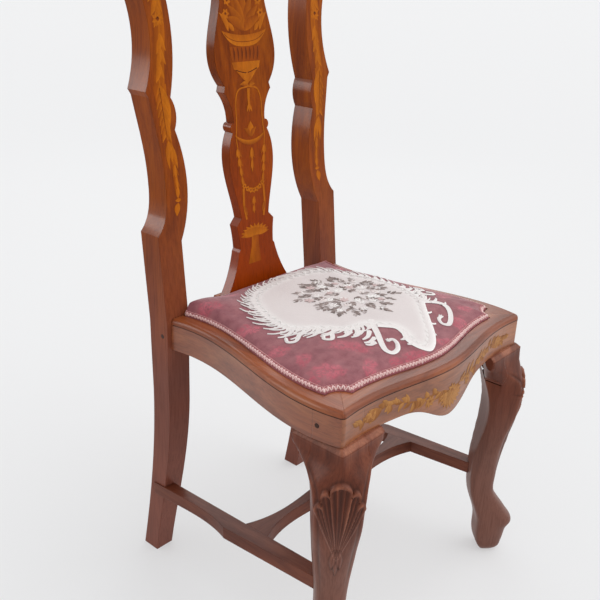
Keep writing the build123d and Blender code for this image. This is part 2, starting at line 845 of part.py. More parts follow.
def build():
    right = {}
    post, leg, rail = post_blank(), leg_blank(), make_side_rail()
    peg_holes = pegs(glue_gap)
    screws, screw_holes = corner_screws(), corner_screws(glue_gap, block_leg)
    long, cross = make_straps()
    nails, nail_holes = tacks(), tacks(glue_gap)

    stretcher = cut_all(side_stretcher_blank(), [leg, post])
    stretcher = stretcher.solids().sort_by(SortBy.VOLUME)[-1]
    cross_stretcher = make_cross_stretcher([side_stretcher_blank(), mirrored(side_stretcher_blank())])
    stretcher = stretcher + stretcher_tenons() - cross_tenon_block(glue_gap)

    mortises = [side_tenon_block(glue_gap), stretcher_tenons(glue_gap)]
    post = cut_all(post + post_tenon_block(), mortises + [back_tenon_block(glue_gap), peg_holes[1]])
    leg = cut_all(leg, mortises + [front_tenon_block(glue_gap), peg_holes[0]])
    rail = cut_all(rail, list(peg_holes) + screw_holes)

    rail_holes = both_sides(screw_holes) + nail_holes
    front_rail = cut_all(make_front_rail(), rail_holes)
    back_rail = cut_all(make_back_rail(), rail_holes)
    rim_front, rim_side = make_rims()

    right["rear_post"] = post
    right["front_leg"] = leg
    right["side_rail"] = rail
    right["side_stretcher"] = stretcher
    right["rim"] = rim_side
    right["front_knee_bracket"] = make_front_bracket()
    right["side_knee_bracket"] = make_side_bracket()
    right["front_corner_block"] = cut_all(front_block(), screw_holes)
    right["rear_corner_block"] = cut_all(rear_block(), screw_holes)

    cover_outer = pad_shape(pad_inset, 0, rail_top)
    cover_inner = pad_shape(pad_inset + cover_thick, -cover_thick, rail_top - 1)
    top_straps = rail_top + 2 * strap_thick
    hessian_top = top_straps + hessian_thick
    pieces = {
        "front_rail": front_rail,
        "back_rail": back_rail,
        "rim_front": rim_front,
        "crest_rail": make_crest(),
        "splat": make_splat(),
        "splat_shoe": make_shoe(),
        "cross_stretcher": cross_stretcher,
        "corner_block_screws": both_sides(screws),
        "joint_pegs": both_sides(pegs()),
        "webbing_long": [cut_all(strap, nail_holes) for strap in long],
        "webbing_cross": cross,
        "webbing_tacks": nails,
    }
    inside = pad_inset + cover_thick + soft_gap
    stuffing = pad_shape(inside, -cover_thick - soft_gap, hessian_top)
    cloth = pad_shape(inside, 0, top_straps) & layer(top_straps, hessian_top)
    gimp_outer = pad_shape(pad_inset - gimp_thick, gimp_thick * 0.7, rail_top)
    gimp_inner = pad_shape(pad_inset - soft_gap, soft_gap, 0)
    pieces["hessian"] = cut_all(cloth, nails)
    pieces["seat_stuffing"] = cut_all(stuffing, nails)
    pieces["seat_cover"] = cover_outer - cover_inner
    pieces["gimp_braid"] = (gimp_outer - gimp_inner) & layer(rim_top - gimp_tuck, rail_top + gimp_reach)
    for name, part in right.items():
        pieces[name + "_right"] = part
        pieces[name + "_left"] = mirrored(part)
    return pieces


def solids_of(piece):
    parts = piece if isinstance(piece, list) else [piece]
    return [solid for part in parts for solid in part.solids()]


def main():
    os.makedirs("parts", exist_ok=True)
    pieces = {name: solids_of(piece) for name, piece in build().items()}
    boxes = [solid.bounding_box() for solids in pieces.values() for solid in solids]
    middle = (min(box.min.Y for box in boxes) + max(box.max.Y for box in boxes)) / 2
    print("moved forward by", round(middle, 3), "height", round(max(box.max.Z for box in boxes), 2))
    for name, solids in pieces.items():
        moved = [Pos(0, -middle, 0) * solid for solid in solids]
        export_step(moved[0] if len(moved) == 1 else Compound(children=moved), f"parts/{name}.step")


main()
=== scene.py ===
import math
import random

import bmesh
import bpy
import numpy as np
from mathutils import Matrix, Vector, noise
from mathutils.bvhtree import BVHTree


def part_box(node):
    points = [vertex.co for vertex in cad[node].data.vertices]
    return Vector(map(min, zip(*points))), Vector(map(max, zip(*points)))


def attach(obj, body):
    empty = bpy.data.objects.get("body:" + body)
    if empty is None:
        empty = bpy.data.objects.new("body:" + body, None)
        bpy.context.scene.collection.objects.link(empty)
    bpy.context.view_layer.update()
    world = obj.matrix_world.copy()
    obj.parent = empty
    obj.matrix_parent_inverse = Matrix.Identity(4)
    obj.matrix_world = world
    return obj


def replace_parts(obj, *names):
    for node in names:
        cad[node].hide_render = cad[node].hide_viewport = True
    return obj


# Looks of a high-back dining chair: polished and inlaid wood, carved front legs and a stuffed seat.
# Metres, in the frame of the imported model: +Z up, the chair faces -Y. Shapes drawn on the chair are
# given in millimetres, with Y counted back from the front corners of the seat frame.

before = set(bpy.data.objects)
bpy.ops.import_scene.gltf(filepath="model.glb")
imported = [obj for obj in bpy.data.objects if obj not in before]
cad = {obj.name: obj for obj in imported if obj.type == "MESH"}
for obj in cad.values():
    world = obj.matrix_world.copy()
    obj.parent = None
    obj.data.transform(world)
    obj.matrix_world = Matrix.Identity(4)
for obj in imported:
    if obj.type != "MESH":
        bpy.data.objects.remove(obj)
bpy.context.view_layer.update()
dice = random.Random(5)

mm = 0.001
front_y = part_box("splat_shoe")[0].y - 0.370
rail_low, rail_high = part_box("side_rail_left")[0].z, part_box("side_rail_left")[1].z
seat_depth = 373.0      # front corners to the front of the back
back_rake = 0.1086      # how far the back leans, for each unit of height


def rgb(red, green, blue):
    """Linear colour from the usual 0 to 255 values."""
    def linear(value):
        value /= 255
        return value / 12.92 if value <= 0.04045 else ((value + 0.055) / 1.055) ** 2.4
    return (linear(red), linear(green), linear(blue), 1.0)


# Materials

class Paint:
    """A material that is put together node by node."""

    def __init__(self, name):
        self.material = bpy.data.materials.new(name)
        self.material.use_nodes = True
        self.tree = self.material.node_tree
        self.shader = self.tree.nodes["Principled BSDF"]

    def put(self, socket, value):
        if isinstance(value, bpy.types.NodeSocket):
            self.tree.links.new(value, socket)
        else:
            socket.default_value = value

    def node(self, kind, **inputs):
        made = self.tree.nodes.new(f"ShaderNode{kind}")
        for name, value in inputs.items():
            self.put(made.inputs[name], value)
        return made

    def place(self, scale):
        spot = self.node("TexCoord").outputs["Object"]
        return self.node("Mapping", Vector=spot, Scale=scale).outputs["Vector"]

    def height(self):
        spot = self.node("TexCoord").outputs["Object"]
        return self.node("SeparateXYZ", Vector=spot).outputs["Z"]

    def facing_up(self):
        face = self.node("NewGeometry").outputs["Normal"]
        return self.node("SeparateXYZ", Vector=face).outputs["Z"]

    def noise(self, vector, scale=1.0, detail=4.0, rough=0.55, twist=0.0):
        made = self.node("TexNoise", Vector=vector, Scale=scale, Detail=detail, Roughness=rough,
                         Distortion=twist)
        return made.outputs[0]

    def wave(self, vector, direction, scale, twist=0.0):
        made = self.node("TexWave", Vector=vector, Scale=scale, Distortion=twist)
        made.bands_direction = direction
        return made.outputs["Fac"]

    def spread(self, value, low, high, start=0.0, stop=1.0):
        made = self.node("MapRange")
        for socket, number in zip(made.inputs, (value, low, high, start, stop)):
            self.put(socket, number)
        return made.outputs[0]

    def blend(self, first, second, share, how="MIX"):
        made = self.node("Mix")
        made.data_type = "RGBA"
        made.blend_type = how
        self.put(made.inputs[0], share)
        self.put(made.inputs[6], first)
        self.put(made.inputs[7], second)
        return made.outputs[2]

    def ramp(self, value, *stops):
        made = self.node("ValToRGB")
        steps = made.color_ramp.elements
        while len(steps) < len(stops):
            steps.new(0.5)
        for step, (place, colour) in zip(steps, stops):
            step.position = place
            step.color = colour
        self.put(made.inputs[0], value)
        return made.outputs[0]

    def tone(self):
        made = self.node("VertexColor")
        made.layer_name = "tone"
        return made.outputs["Color"]

    def bump(self, height, distance, strength=1.0, soften=0.0):
        made = self.node("Bump", Height=height, Distance=distance, Strength=strength)
        if soften:
            self.put(made.inputs["Normal"], self.node("Bevel", Radius=soften).outputs[0])
        self.put(self.shader.inputs["Normal"], made.outputs[0])

    def finish(self, colour, rough, **more):
        self.put(self.shader.inputs["Base Color"], colour)
        self.put(self.shader.inputs["Roughness"], rough)
        for name, value in more.items():
            self.put(self.shader.inputs[name.replace("_", " ")], value)
        return self.material


def wood(name, along, dark, middle, light, rough=0.36, coat=0.35, shine=0.5, low=None, fade=(0.36, 0.66),
         upper=None, carved=False):
    """Polished wood with a long figure and fine pores; low is a colour it turns to further down (on the posts
    and legs a painted reflection, a lighter grey haze), and upper the weight of the polish on faces that look
    up; carved multiplies in the vertex tone, with its painted highlights and painted shade."""
    paint = Paint(name)
    figure_scale, pore_scale = [24.0] * 3, [420.0] * 3
    axis = "XYZ".index(along)
    figure_scale[axis], pore_scale[axis] = 2.4, 16.0
    figure = paint.noise(paint.place(figure_scale), 1.0, 6.0, 0.6, 1.1)
    pores = paint.noise(paint.place(pore_scale), 1.0, 3.0, 0.7)
    cloud = paint.noise(paint.place([7.0] * 3), 1.0, 3.0, 0.5)
    colour = paint.ramp(figure, (0.30, dark), (0.5, middle), (0.72, light))
    # On the posts and legs the low colour is a painted reflection: a lighter grey haze of the gloss further
    # down.
    if low:
        colour = paint.blend(low, colour, paint.spread(paint.height(), *fade))
    streak = paint.ramp(pores, (0.36, (0.55, 0.5, 0.48, 1)), (0.56, (1, 1, 1, 1)))
    colour = paint.blend(colour, streak, 0.5, "MULTIPLY")
    patch = paint.ramp(cloud, (0.3, (0.78, 0.76, 0.76, 1)), (0.7, (1.12, 1.1, 1.08, 1)))
    colour = paint.blend(colour, patch, 0.8, "MULTIPLY")
    # The vertex tone of carved pieces holds painted highlights and painted shade.
    if carved:
        colour = paint.blend(colour, paint.tone(), 1.0, "MULTIPLY")
    paint.bump(pores, 0.00025, 0.25, 0.0 if carved else 0.002)
    sheen = paint.spread(figure, 0.3, 0.7, rough + 0.06, rough - 0.05)
    if upper:
        coat = paint.spread(paint.facing_up(), 0.1, 0.4, coat, upper)
    return paint.finish(colour, sheen, Coat_Weight=coat, Coat_Roughness=0.16, Specular_IOR_Level=shine)


def inlay_paint():
    """Inlaid woods: each piece keeps its own tone, with a little grain."""
    paint = Paint("inlay")
    grain = paint.noise(paint.place([120.0, 120.0, 40.0]), 1.0, 4.0, 0.6, 0.6)
    shade = paint.ramp(grain, (0.3, (0.72, 0.68, 0.62, 1)), (0.7, (1.1, 1.08, 1.05, 1)))
    colour = paint.blend(paint.tone(), shade, 0.8, "MULTIPLY")
    return paint.finish(colour, 0.36, Coat_Weight=0.03, Coat_Roughness=0.16, Specular_IOR_Level=0.08)


def weave_bump(paint, pitch, distance, strength):
    across = paint.wave(paint.place([1.0] * 3), "X", pitch)
    along = paint.wave(paint.place([1.0] * 3), "Y", pitch)
    height = paint.blend(across, along, 0.5)
    paint.bump(height, distance, strength)


def damask_paint():
    """Mauve ground with a redder satin figure."""
    paint = Paint("damask")
    spot = paint.place([1.0] * 3)
    leafy = paint.noise(spot, 85.0, 3.0, 0.6, 2.6)
    veins = paint.spread(leafy, 0.38, 0.56, 0.1, 0.95)
    share = paint.node("Math")
    share.operation = "MULTIPLY"
    paint.put(share.inputs[0], paint.tone())
    paint.put(share.inputs[1], veins)
    ground = paint.ramp(paint.noise(spot, 60.0, 4.0, 0.6),
                        (0.35, rgb(138, 76, 85)), (0.65, rgb(160, 98, 104)))
    figure = paint.ramp(paint.noise(spot, 45.0, 3.0, 0.6),
                        (0.35, rgb(172, 72, 88)), (0.65, rgb(194, 98, 112)))
    threads = paint.wave(paint.place([1.0] * 3), "Y", 420.0, 0.6)
    colour = paint.blend(ground, figure, share.outputs[0])
    shade = paint.ramp(threads, (0.0, (0.86, 0.86, 0.86, 1)), (1.0, (1.06, 1.06, 1.06, 1)))
    colour = paint.blend(colour, shade, 0.6, "MULTIPLY")
    weave_bump(paint, 420.0, 0.0004, 0.35)
    rough = paint.spread(share.outputs[0], 0, 1, 0.75, 0.6)
    return paint.finish(colour, rough, Sheen_Weight=0.25, Specular_IOR_Level=0.25)


def thread_paint(name, rough=0.8):
    """Embroidery and braid: each piece keeps its own tone, with fine threads across it."""
    paint = Paint(name)
    threads = paint.wave(paint.place([1.0] * 3), "DIAGONAL", 520.0, 1.5)
    shade = paint.ramp(threads, (0.0, (0.82, 0.81, 0.81, 1)), (1.0, (1.04, 1.04, 1.04, 1)))
    colour = paint.blend(paint.tone(), shade, 0.7, "MULTIPLY")
    paint.bump(threads, 0.0003, 0.4)
    return paint.finish(colour, rough, Sheen_Weight=0.2, Specular_IOR_Level=0.25)


def cloth_paint(name, dark, light, pitch):
    """Plain coarse weave."""
    paint = Paint(name)
    fleck = paint.noise(paint.place([1.0] * 3), 260.0, 4.0, 0.7)
    weave_bump(paint, pitch, 0.0006, 0.6)
    return paint.finish(paint.ramp(fleck, (0.3, dark), (0.7, light)), 0.9)


def metal_paint(name, dark, light):
    paint = Paint(name)
    scratch = paint.noise(paint.place([400.0] * 3), 1.0, 4.0, 0.7)
    paint.bump(scratch, 0.0001, 0.2)
    return paint.finish(paint.ramp(scratch, (0.3, dark), (0.7, light)), 0.42, Metallic=1.0)


back_tones = rgb(106, 42, 1), rgb(138, 62, 2), rgb(164, 83, 4)
rail_tones = rgb(104, 50, 27), rgb(138, 74, 42), rgb(162, 98, 58)
front_tones = rgb(118, 64, 34), rgb(150, 88, 50), rgb(176, 112, 68)
leg_tones = rgb(78, 36, 22), rgb(104, 52, 34), rgb(130, 72, 48)
rim_tones = rgb(108, 50, 24), rgb(144, 74, 38), rgb(168, 98, 54)
# The posts' and legs' low colours are painted reflection, a lighter grey haze further down; the splat's is a
# redder colour lower down.
post_low_painted_haze, splat_low, leg_low_painted_haze = rgb(126, 74, 60), rgb(142, 54, 4), rgb(118, 78, 66)
plain_tones = rgb(120, 84, 52), rgb(156, 116, 76), rgb(178, 138, 96)
sawn_tones = rgb(96, 52, 40), rgb(118, 68, 52), rgb(136, 84, 64)

post_wood = wood("post_wood", "Z", *back_tones, coat=0.04, shine=0.1, low=post_low_painted_haze, upper=0.6)
splat_wood = wood("splat_wood", "Z", *back_tones, coat=0.02, shine=0.07, low=splat_low, fade=(0.56, 0.8),
                  upper=0.8)
crest_wood = wood("crest_wood", "X", *back_tones, coat=0.05, shine=0.1)
rail_wood_x = wood("rail_wood_x", "X", *rail_tones)
front_wood = wood("front_wood", "X", *front_tones)
rail_wood_y = wood("rail_wood_y", "Y", *rail_tones)
rim_wood_x = wood("rim_wood_x", "X", *rim_tones, coat=0.2, shine=0.3)
rim_wood_y = wood("rim_wood_y", "Y", *rim_tones, coat=0.2, shine=0.3)
leg_wood_x = wood("leg_wood_x", "X", *leg_tones, rough=0.45, coat=0.06, shine=0.2)
leg_wood_y = wood("leg_wood_y", "Y", *leg_tones, rough=0.45, coat=0.06, shine=0.2)
leg_wood_z = wood("leg_wood_z", "Z", *leg_tones, rough=0.42, coat=0.3)
# Its colour is multiplied by the vertex tone: painted highlights and painted shade of the carving and the
# ledge.
carved_wood_painted_shading = wood("carved_wood_painted_shading", "Z", *leg_tones, rough=0.42, coat=0.08, shine=0.16, low=leg_low_painted_haze,
                   fade=(0.2, 0.34), carved=True)
sawn_wood = wood("sawn_wood", "Z", *sawn_tones, rough=0.7, coat=0.0, shine=0.0)
plain_wood = wood("plain_wood", "X", *plain_tones, rough=0.7, coat=0.0)
peg_wood = wood("peg_wood", "X", rgb(50, 24, 14), rgb(66, 34, 20), rgb(82, 44, 28), coat=0.05, shine=0.2)
inlay = inlay_paint()
damask = damask_paint()
embroidery = thread_paint("embroidery")
braid = thread_paint("braid", 0.7)
hessian = cloth_paint("hessian", rgb(120, 98, 62), rgb(176, 150, 104), 300.0)
webbing = cloth_paint("webbing", rgb(128, 104, 70), rgb(190, 168, 124), 180.0)
steel = metal_paint("steel", rgb(120, 116, 110), rgb(176, 172, 166))
iron = metal_paint("iron", rgb(36, 36, 40), rgb(66, 66, 70))

finishes = [
    (post_wood, "rear_post_left rear_post_right"), (splat_wood, "splat"),
    (crest_wood, "crest_rail splat_shoe"),
    (front_wood, "front_rail"), (rail_wood_x, "back_rail"), (rail_wood_y, "side_rail_left side_rail_right"),
    (rim_wood_x, "rim_front"), (rim_wood_y, "rim_left rim_right"),
    (leg_wood_x, "cross_stretcher"), (leg_wood_y, "side_stretcher_left side_stretcher_right"),
    (leg_wood_z, "front_leg_left front_leg_right front_knee_bracket_left front_knee_bracket_right "
                 "side_knee_bracket_left side_knee_bracket_right"),
    (plain_wood, "front_corner_block_left front_corner_block_right "
                 "rear_corner_block_left rear_corner_block_right"),
    (peg_wood, "joint_pegs"), (steel, "corner_block_screws"), (iron, "webbing_tacks"),
    (hessian, "hessian seat_stuffing"), (webbing, "webbing_long webbing_cross"),
    (damask, "seat_cover"), (braid, "gimp_braid"),
]
for finish, nodes in finishes:
    for name in nodes.split():
        cad[name].data.materials.clear()
        cad[name].data.materials.append(finish)


# Meshes

def add_piece(mesh):
    """Puts a mesh into the scene as a piece of the chair."""
    piece = bpy.data.objects.new(mesh.name, mesh)
    bpy.context.scene.collection.objects.link(piece)
    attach(piece, "root")
    return piece


def make_object(name, verts, faces, paint, tones=None):
    """A smooth piece from plain lists; tones gives each vertex its own colour."""
    mesh = bpy.data.meshes.new(name)
    mesh.from_pydata([tuple(v) for v in verts], [], faces)
    mesh.materials.append(paint)
    if tones is not None:
        layer = mesh.color_attributes.new("tone", "FLOAT_COLOR", "POINT")
        layer.data.foreach_set("color", np.array(tones, np.float32).reshape(-1))
    mesh.polygons.foreach_set("use_smooth", [True] * len(mesh.polygons))
    mesh.update()
    return add_piece(mesh)


def ring_faces(rings, count):
    """Faces between rings of points that follow each other in one list."""
    faces = []
    for ring in range(rings):
        low, high = ring * count, (ring + 1) * count
        for i in range(count):
            j = (i + 1) % count
            faces.append((low + i, low + j, high + j, high + i))
    return faces


def tree_of(node):
    mesh = cad[node].data
    return BVHTree.FromPolygons([v.co for v in mesh.vertices], [p.vertices for p in mesh.polygons])


class Strips:
    """Many small flat pieces, each a strip between two lines of points, laid on one surface."""

    def __init__(self, place, base=0.1):
        self.place, self.base = place, base
        self.verts, self.faces, self.tones = [], [], []
        self.count = 0

    def add(self, left, right, left_tone, right_tone, crown=0.0, over=0.0):
        lift = self.base + 0.0025 * (self.count % 160) + over
        self.count += 1
        start = len(self.verts)
        for (lx, ly), (rx, ry) in zip(left, right):
            self.verts.append(self.place(lx, ly, lift))
            self.verts.append(self.place((lx + rx) / 2, (ly + ry) / 2, lift + crown))
            self.verts.append(self.place(rx, ry, lift))
            middle = tuple((a + b) / 2 for a, b in zip(left_tone, right_tone))
            self.tones += [left_tone, middle, right_tone]
        for i in range(len(left) - 1):
            a = start + 3 * i
            self.faces.append((a, a + 1, a + 4, a + 3))
            self.faces.append((a + 1, a + 2, a + 5, a + 4))

    def leaf(self, x0, y0, x1, y1, wide, bend=0.0, tones=None, crown=0.0, steps=10):
        """A leaf from its foot to its tip; bend bows it to one side."""
        dark, light = tones or (dark_gold, gold)
        foot, along = np.array((x0, y0)), np.array((x1 - x0, y1 - y0))
        side = np.array((-along[1], along[0])) / np.linalg.norm(along)
        left, right = [], []
        for i in range(steps + 1):
            share = i / steps
            middle = foot + along * share + side * bend * math.sin(math.pi * share)
            half = max(wide / 2 * math.sin(math.pi * share ** 0.8), 0.08)
            left.append(middle + side * half)
            right.append(middle - side * half)
        self.add(left, right, dark, light, crown)

    def stroke(self, points, start, stop, tones=None, crown=0.0, steps=8, over=0.0):
        """A ribbon along a smooth line through points, from one width to another."""
        dark, light = tones or (dark_gold, gold)
        line = smooth_line(points, steps)
        left, right = [], []
        for i, spot in enumerate(line):
            ahead = line[min(i + 1, len(line) - 1)] - line[max(i - 1, 0)]
            side = np.array((-ahead[1], ahead[0])) / max(np.linalg.norm(ahead), 1e-6)
            half = (start + (stop - start) * i / (len(line) - 1)) / 2
            left.append(spot + side * half)
            right.append(spot - side * half)
        self.add(left, right, dark, light, crown, over)

    def flower(self, x, y, radius, petals, tones=None, heart=None, crown=0.0):
        turn = dice.random()
        for i in range(petals):
            angle = (i + turn) * math.tau / petals
            self.leaf(x, y, x + radius * math.cos(angle), y + radius * math.sin(angle),
                      radius * 2.6 / petals + 2, 0.0, tones, crown)
        heart = heart or (brown, dark_gold)
        self.leaf(x - radius * 0.3, y, x + radius * 0.3, y, radius * 0.55, 0.0, heart, crown)

    def finish(self, name, paint, slot):
        return make_object(name, self.verts, self.faces, paint, self.tones)


def smooth_line(points, steps):
    """Points on a smooth line through the given ones."""
    pts = [np.array(p, float) for p in points]
    pts = [2 * pts[0] - pts[1]] + pts + [2 * pts[-1] - pts[-2]]
    line = []
    for a, b, c, d in zip(pts, pts[1:], pts[2:], pts[3:]):
        for i in range(steps):
            t = i / steps
            line.append(0.5 * (2 * b + (c - a) * t + (2 * a - 5 * b + 4 * c - d) * t ** 2
                               + (3 * b - a - 3 * c + d) * t ** 3))
    line.append(pts[-2])
    return line


# Inlay of the back

gold, dark_gold, pale = rgb(168, 88, 5), rgb(142, 67, 4), rgb(188, 106, 12)
amber, brown = rgb(146, 67, 5), rgb(78, 28, 3)
bright = (gold, pale)
over_rest = 0.06        # lift of the dark lines above the other inlay


def on_back(x, z, lift):
    y = seat_depth + back_rake * (z - rail_high / mm)
    return Vector((x * mm, front_y + (y - lift) * mm, z * mm))


def husks(strips, x0, z0, x1, z1, count, wide):
    """A hanging row of husks, each of three leaflets, smaller towards its end."""
    for i in range(count):
        share, after = i / count, (i + 1.25) / count
        top = (x0 + (x1 - x0) * share, z0 + (z1 - z0) * share)
        tip = (x0 + (x1 - x0) * after, z0 + (z1 - z0) * after)
        size = wide * (1 - 0.45 * share)
        for side in (-1, 1):
            aside = tip[0] + side * size * 0.55, tip[1] + (z0 - z1) / count * 0.25
            strips.leaf(*top, *aside, size * 0.5, side * -1.0)
        strips.leaf(*top, *tip, size * 0.6, 0, bright)


def splat_inlay():
    strips = Strips(on_back)
    for angle in (0, 20, -20, 42, -42, 64, -64):
        turn = math.radians(angle)
        long = 66 - abs(angle) * 0.36
        tip = (long * math.sin(turn), 886 + long * math.cos(turn))
        strips.leaf(0, 884, *tip, 15, angle * 0.06)
        strips.flower(tip[0] * 0.98, tip[1] + 5, 8, 6, bright)
    for side in (-1, 1):
        strips.leaf(side * 34, 884, side * 52, 912, 9, side * 4, bright)
        strips.leaf(side * 22, 884, side * 34, 898, 8, 0, bright)
    rim = [(x, 886 - 8 * (1 - (x / 50) ** 2)) for x in range(-50, 51, 5)]
    keel = [(x * 0.95, 884 - 23 * (1 - abs(x / 50) ** 3)) for x in range(-50, 51, 5)]
    strips.add(rim, keel, gold, pale)
    line = [(a[0] * 0.4 + b[0] * 0.6, a[1] * 0.4 + b[1] * 0.6) for a, b in zip(rim, keel)]
    strips.stroke(line[1:-1], 0.9, 0.9, (brown, amber), steps=2, over=over_rest)
    strips.add([(-34, 861), (-32, 848), (-30, 838)], [(34, 861), (32, 848), (30, 838)], dark_gold, amber)
    for x in range(-27, 28, 9):
        strips.leaf(x, 861, x * 0.92, 838, 5.2, 0, (brown, amber))
    strips.add([(-31, 838), (-28, 828), (-13, 819)], [(31, 838), (28, 828), (13, 819)], gold, pale)
    strips.stroke([(-24, 826), (0, 821), (24, 827)], 1.4, 1.4, (brown, brown), over=over_rest)
    for side in (-1, 1):
        strips.leaf(1, 806, side * 24, 826, 9, side * 3, bright)
        strips.leaf(3, 800, side * 17, 803, 8, side * 3, (dark_gold, pale))
        ribbon = [(3, 800), (side * 20, 796), (side * 28, 780), (side * 29, 752), (side * 30, 736)]
        strips.stroke(ribbon, 2.6, 2.2, bright)
        strips.stroke([(side * 30, 736), (side * 32, 722), (side * 30, 704)], 2.4, 2.0, bright)
        husks(strips, side * 31, 706, side * 23, 646, 4, 12)
        strips.stroke([(side * 23, 640), (side * 24, 612), (side * 20, 588)], 5.0, 4.0, bright)
        strips.leaf(side * 24, 612, side * 17, 594, 6, 0, (dark_gold, gold))
    strips.leaf(1, 822, 1, 804, 14, 0, bright)
    strips.stroke([(2, 797), (1, 783), (1, 772)], 6.5, 5.0, bright)
    for x in (-6, 0, 6):
        strips.leaf(1, 774, 1 + x, 760, 4.5, 0, bright)
    strips.leaf(1, 722, 1, 746, 15, 0, bright)
    for side in (-1, 1):
        strips.leaf(1, 721, side * 14, 736, 8, side * 2)
    upper = [(x, 727 - 11 * (1 - (x / 34) ** 2)) for x in range(-34, 35, 8)]
    lower = [(x * 0.96, 722 - 14 * (1 - (x / 34) ** 2)) for x in range(-34, 35, 8)]
    strips.add(upper, lower, pale, dark_gold)
    husks(strips, 1, 704, 0, 668, 2, 11)
    for i in range(7):
        x = -21 + 7 * i
        strips.flower(x, 634 + 0.022 * x * x, 5.2, 5, bright)
    husks(strips, 0, 624, -2, 598, 2, 10)
    for i in range(11):
        angle = math.radians(-4 + 18.8 * i)
        tip = (-3 + 33 * math.cos(angle), 562 + 17 * math.sin(angle))
        strips.leaf(-3, 561, *tip, 8.5, 0, bright)
    strips.leaf(-32, 565, 27, 563, 15, 0, bright)
    strips.add([(-11, 558), (-13, 540), (-22, 512)], [(5, 558), (5, 540), (8, 512)], gold, amber)
    return strips.finish("splat_inlay", inlay, "back_veneer")


def post_inlay(side):
    strips = Strips(lambda x, z, lift: on_back(side * x, z, lift))
    strips.stroke([(178, 964), (171, 930), (169, 890), (175, 845), (178, 812)], 19, 20, (dark_gold, gold))
    strips.stroke([(178, 816), (175, 780), (170, 742)], 25, 13, (dark_gold, gold))
    strips.stroke([(170, 744), (165, 705), (162, 660)], 10, 8, (dark_gold, gold))
    strips.stroke([(176, 962), (170, 930), (169, 890), (177, 840), (177, 812)], 1.8, 1.4, bright)
    sprays = ((958, 176, 11), (940, 172, 12), (924, 170, 10), (888, 170, 10), (869, 172, 10), (849, 176, 9))
    for z, x, reach in sprays:
        strips.leaf(x, z, x - reach, z - 26, 9.5, 2, bright)
        strips.leaf(x, z - 6, x + reach * 0.8, z - 30, 9.0, -2, bright)
    strips.flower(170, 906, 11, 7, bright)
    strips.leaf(178, 818, 171, 736, 25, -2, bright)
    for i in range(5):
        z = 806 - 12 * i
        strips.leaf(177 - i * 0.6, z, 187 - i * 1.4, z - 24, 9, -1, (dark_gold, pale))
        strips.leaf(176 - i * 0.6, z, 165 - i * 0.2, z - 24, 9, 1, bright)
    strips.stroke([(178, 812), (175, 775), (172, 742)], 1.2, 0.8, (brown, dark_gold), over=over_rest)
    for reach in (-8, 0, 7):
        strips.leaf(171, 736, 165 + reach, 700 - abs(reach), 8, reach * 0.3, bright)
    husks(strips, 164, 700, 161, 664, 2, 11)
    strips.leaf(161, 666, 162, 648, 8, 0, bright)
    strips.leaf(156, 646, 168, 646, 6, 0, bright)
    strips.leaf(162, 642, 167, 622, 11, 1, bright)
    return strips.finish(f"post_inlay_{'left' if side < 0 else 'right'}", inlay, "back_veneer")


def crest_inlay():
    strips = Strips(on_back)
    for side in (-1, 1):
        stem = [(side * 12, 1022), (side * 60, 1030), (side * 110, 1018), (side * 160, 1014)]
        strips.stroke(stem, 2.4, 1.4)
        for i in range(7):
            x = 24 + 20 * i
            z = 1026 - 0.0006 * x * x
            strips.leaf(side * x, z, side * (x + 18), z + 16, 8, side * 2, bright)
            strips.leaf(side * (x + 6), z, side * (x + 22), z - 15, 8, side * -2)
        strips.flower(side * 84, 1026, 11, 7, bright)
        strips.leaf(side * 176, 1006, side * 182, 972, 9, 0, bright)
    for i in range(9):
        angle = math.radians(10 + 20 * i)
        strips.leaf(0, 1010, 28 * math.cos(angle), 1010 + 34 * math.sin(angle), 10, 0, bright)
    return strips.finish("crest_inlay", inlay, "back_veneer")


def rail_inlay():
    """Leaf sprays on the shaped front rail and the tops of the legs, laid on their curved faces."""
    trees = [tree_of(name) for name in ("front_rail", "front_leg_left", "front_leg_right")]

    def place(x, z, lift):
        start = Vector((x * mm, front_y - 0.2, z * mm))
        hits = [hit for hit in (tree.ray_cast(start, Vector((0, 1, 0))) for tree in trees) if hit[0]]
        if not hits:
            hits = [trees[0].find_nearest(start + Vector((0, 0.2, 0)))]
        spot, normal = min(hits, key=lambda hit: hit[3])[:2]
        return spot + normal * lift * mm

    strips = Strips(place)
    deep, tan, straw = rgb(138, 86, 44), rgb(162, 108, 58), rgb(182, 130, 74)

    def middle(x):
        return 435 - 19 * max(0.0, 1 - x / 105) ** 1.2

    for side in (-1, 1):
        stem = [(side * x, middle(x) + 4 * math.sin(x / 17)) for x in range(0, 200, 18)]
        strips.stroke(stem, 2.6, 1.4, (deep, tan))
        for i in range(44):
            x = 5 + 4.4 * i
            z = middle(x) + 4 * math.sin(x / 17)
            turn = math.radians(dice.choice((-1, 1)) * dice.uniform(18, 72))
            long = dice.uniform(13, 23) * (1 if x < 110 else 0.8)
            tip = x + long * math.cos(turn), z + 0.9 * long * math.sin(turn)
            strips.leaf(side * x, z, side * tip[0], tip[1], dice.uniform(6.5, 9.5), dice.uniform(-3, 3),
                        dice.choice(((deep, tan), (tan, straw), (deep, straw))))
        strips.leaf(side * 146, 436, side * 186, 434, 20, 0, (deep, tan))
        for angle in (-60, -25, 0, 25, 60):
            turn = math.radians(angle)
            tip = side * (158 + 24 * math.cos(turn)), 435 + 13 * math.sin(turn)
            strips.leaf(side * 158, 435, *tip, 8, 0, (tan, straw))
        strips.flower(side * 50, 418, 10, 7, (tan, straw), (deep, tan))
    for i in range(11):
        angle = math.radians(170 + 20 * i)
        strips.leaf(0, 414, 28 * math.cos(angle), 414 + 24 * math.sin(angle), 10, 0, (tan, straw))
    strips.flower(0, 420, 12, 8, (tan, straw), (deep, tan))
    return strips.finish("front_rail_inlay", inlay, "rail_veneer")


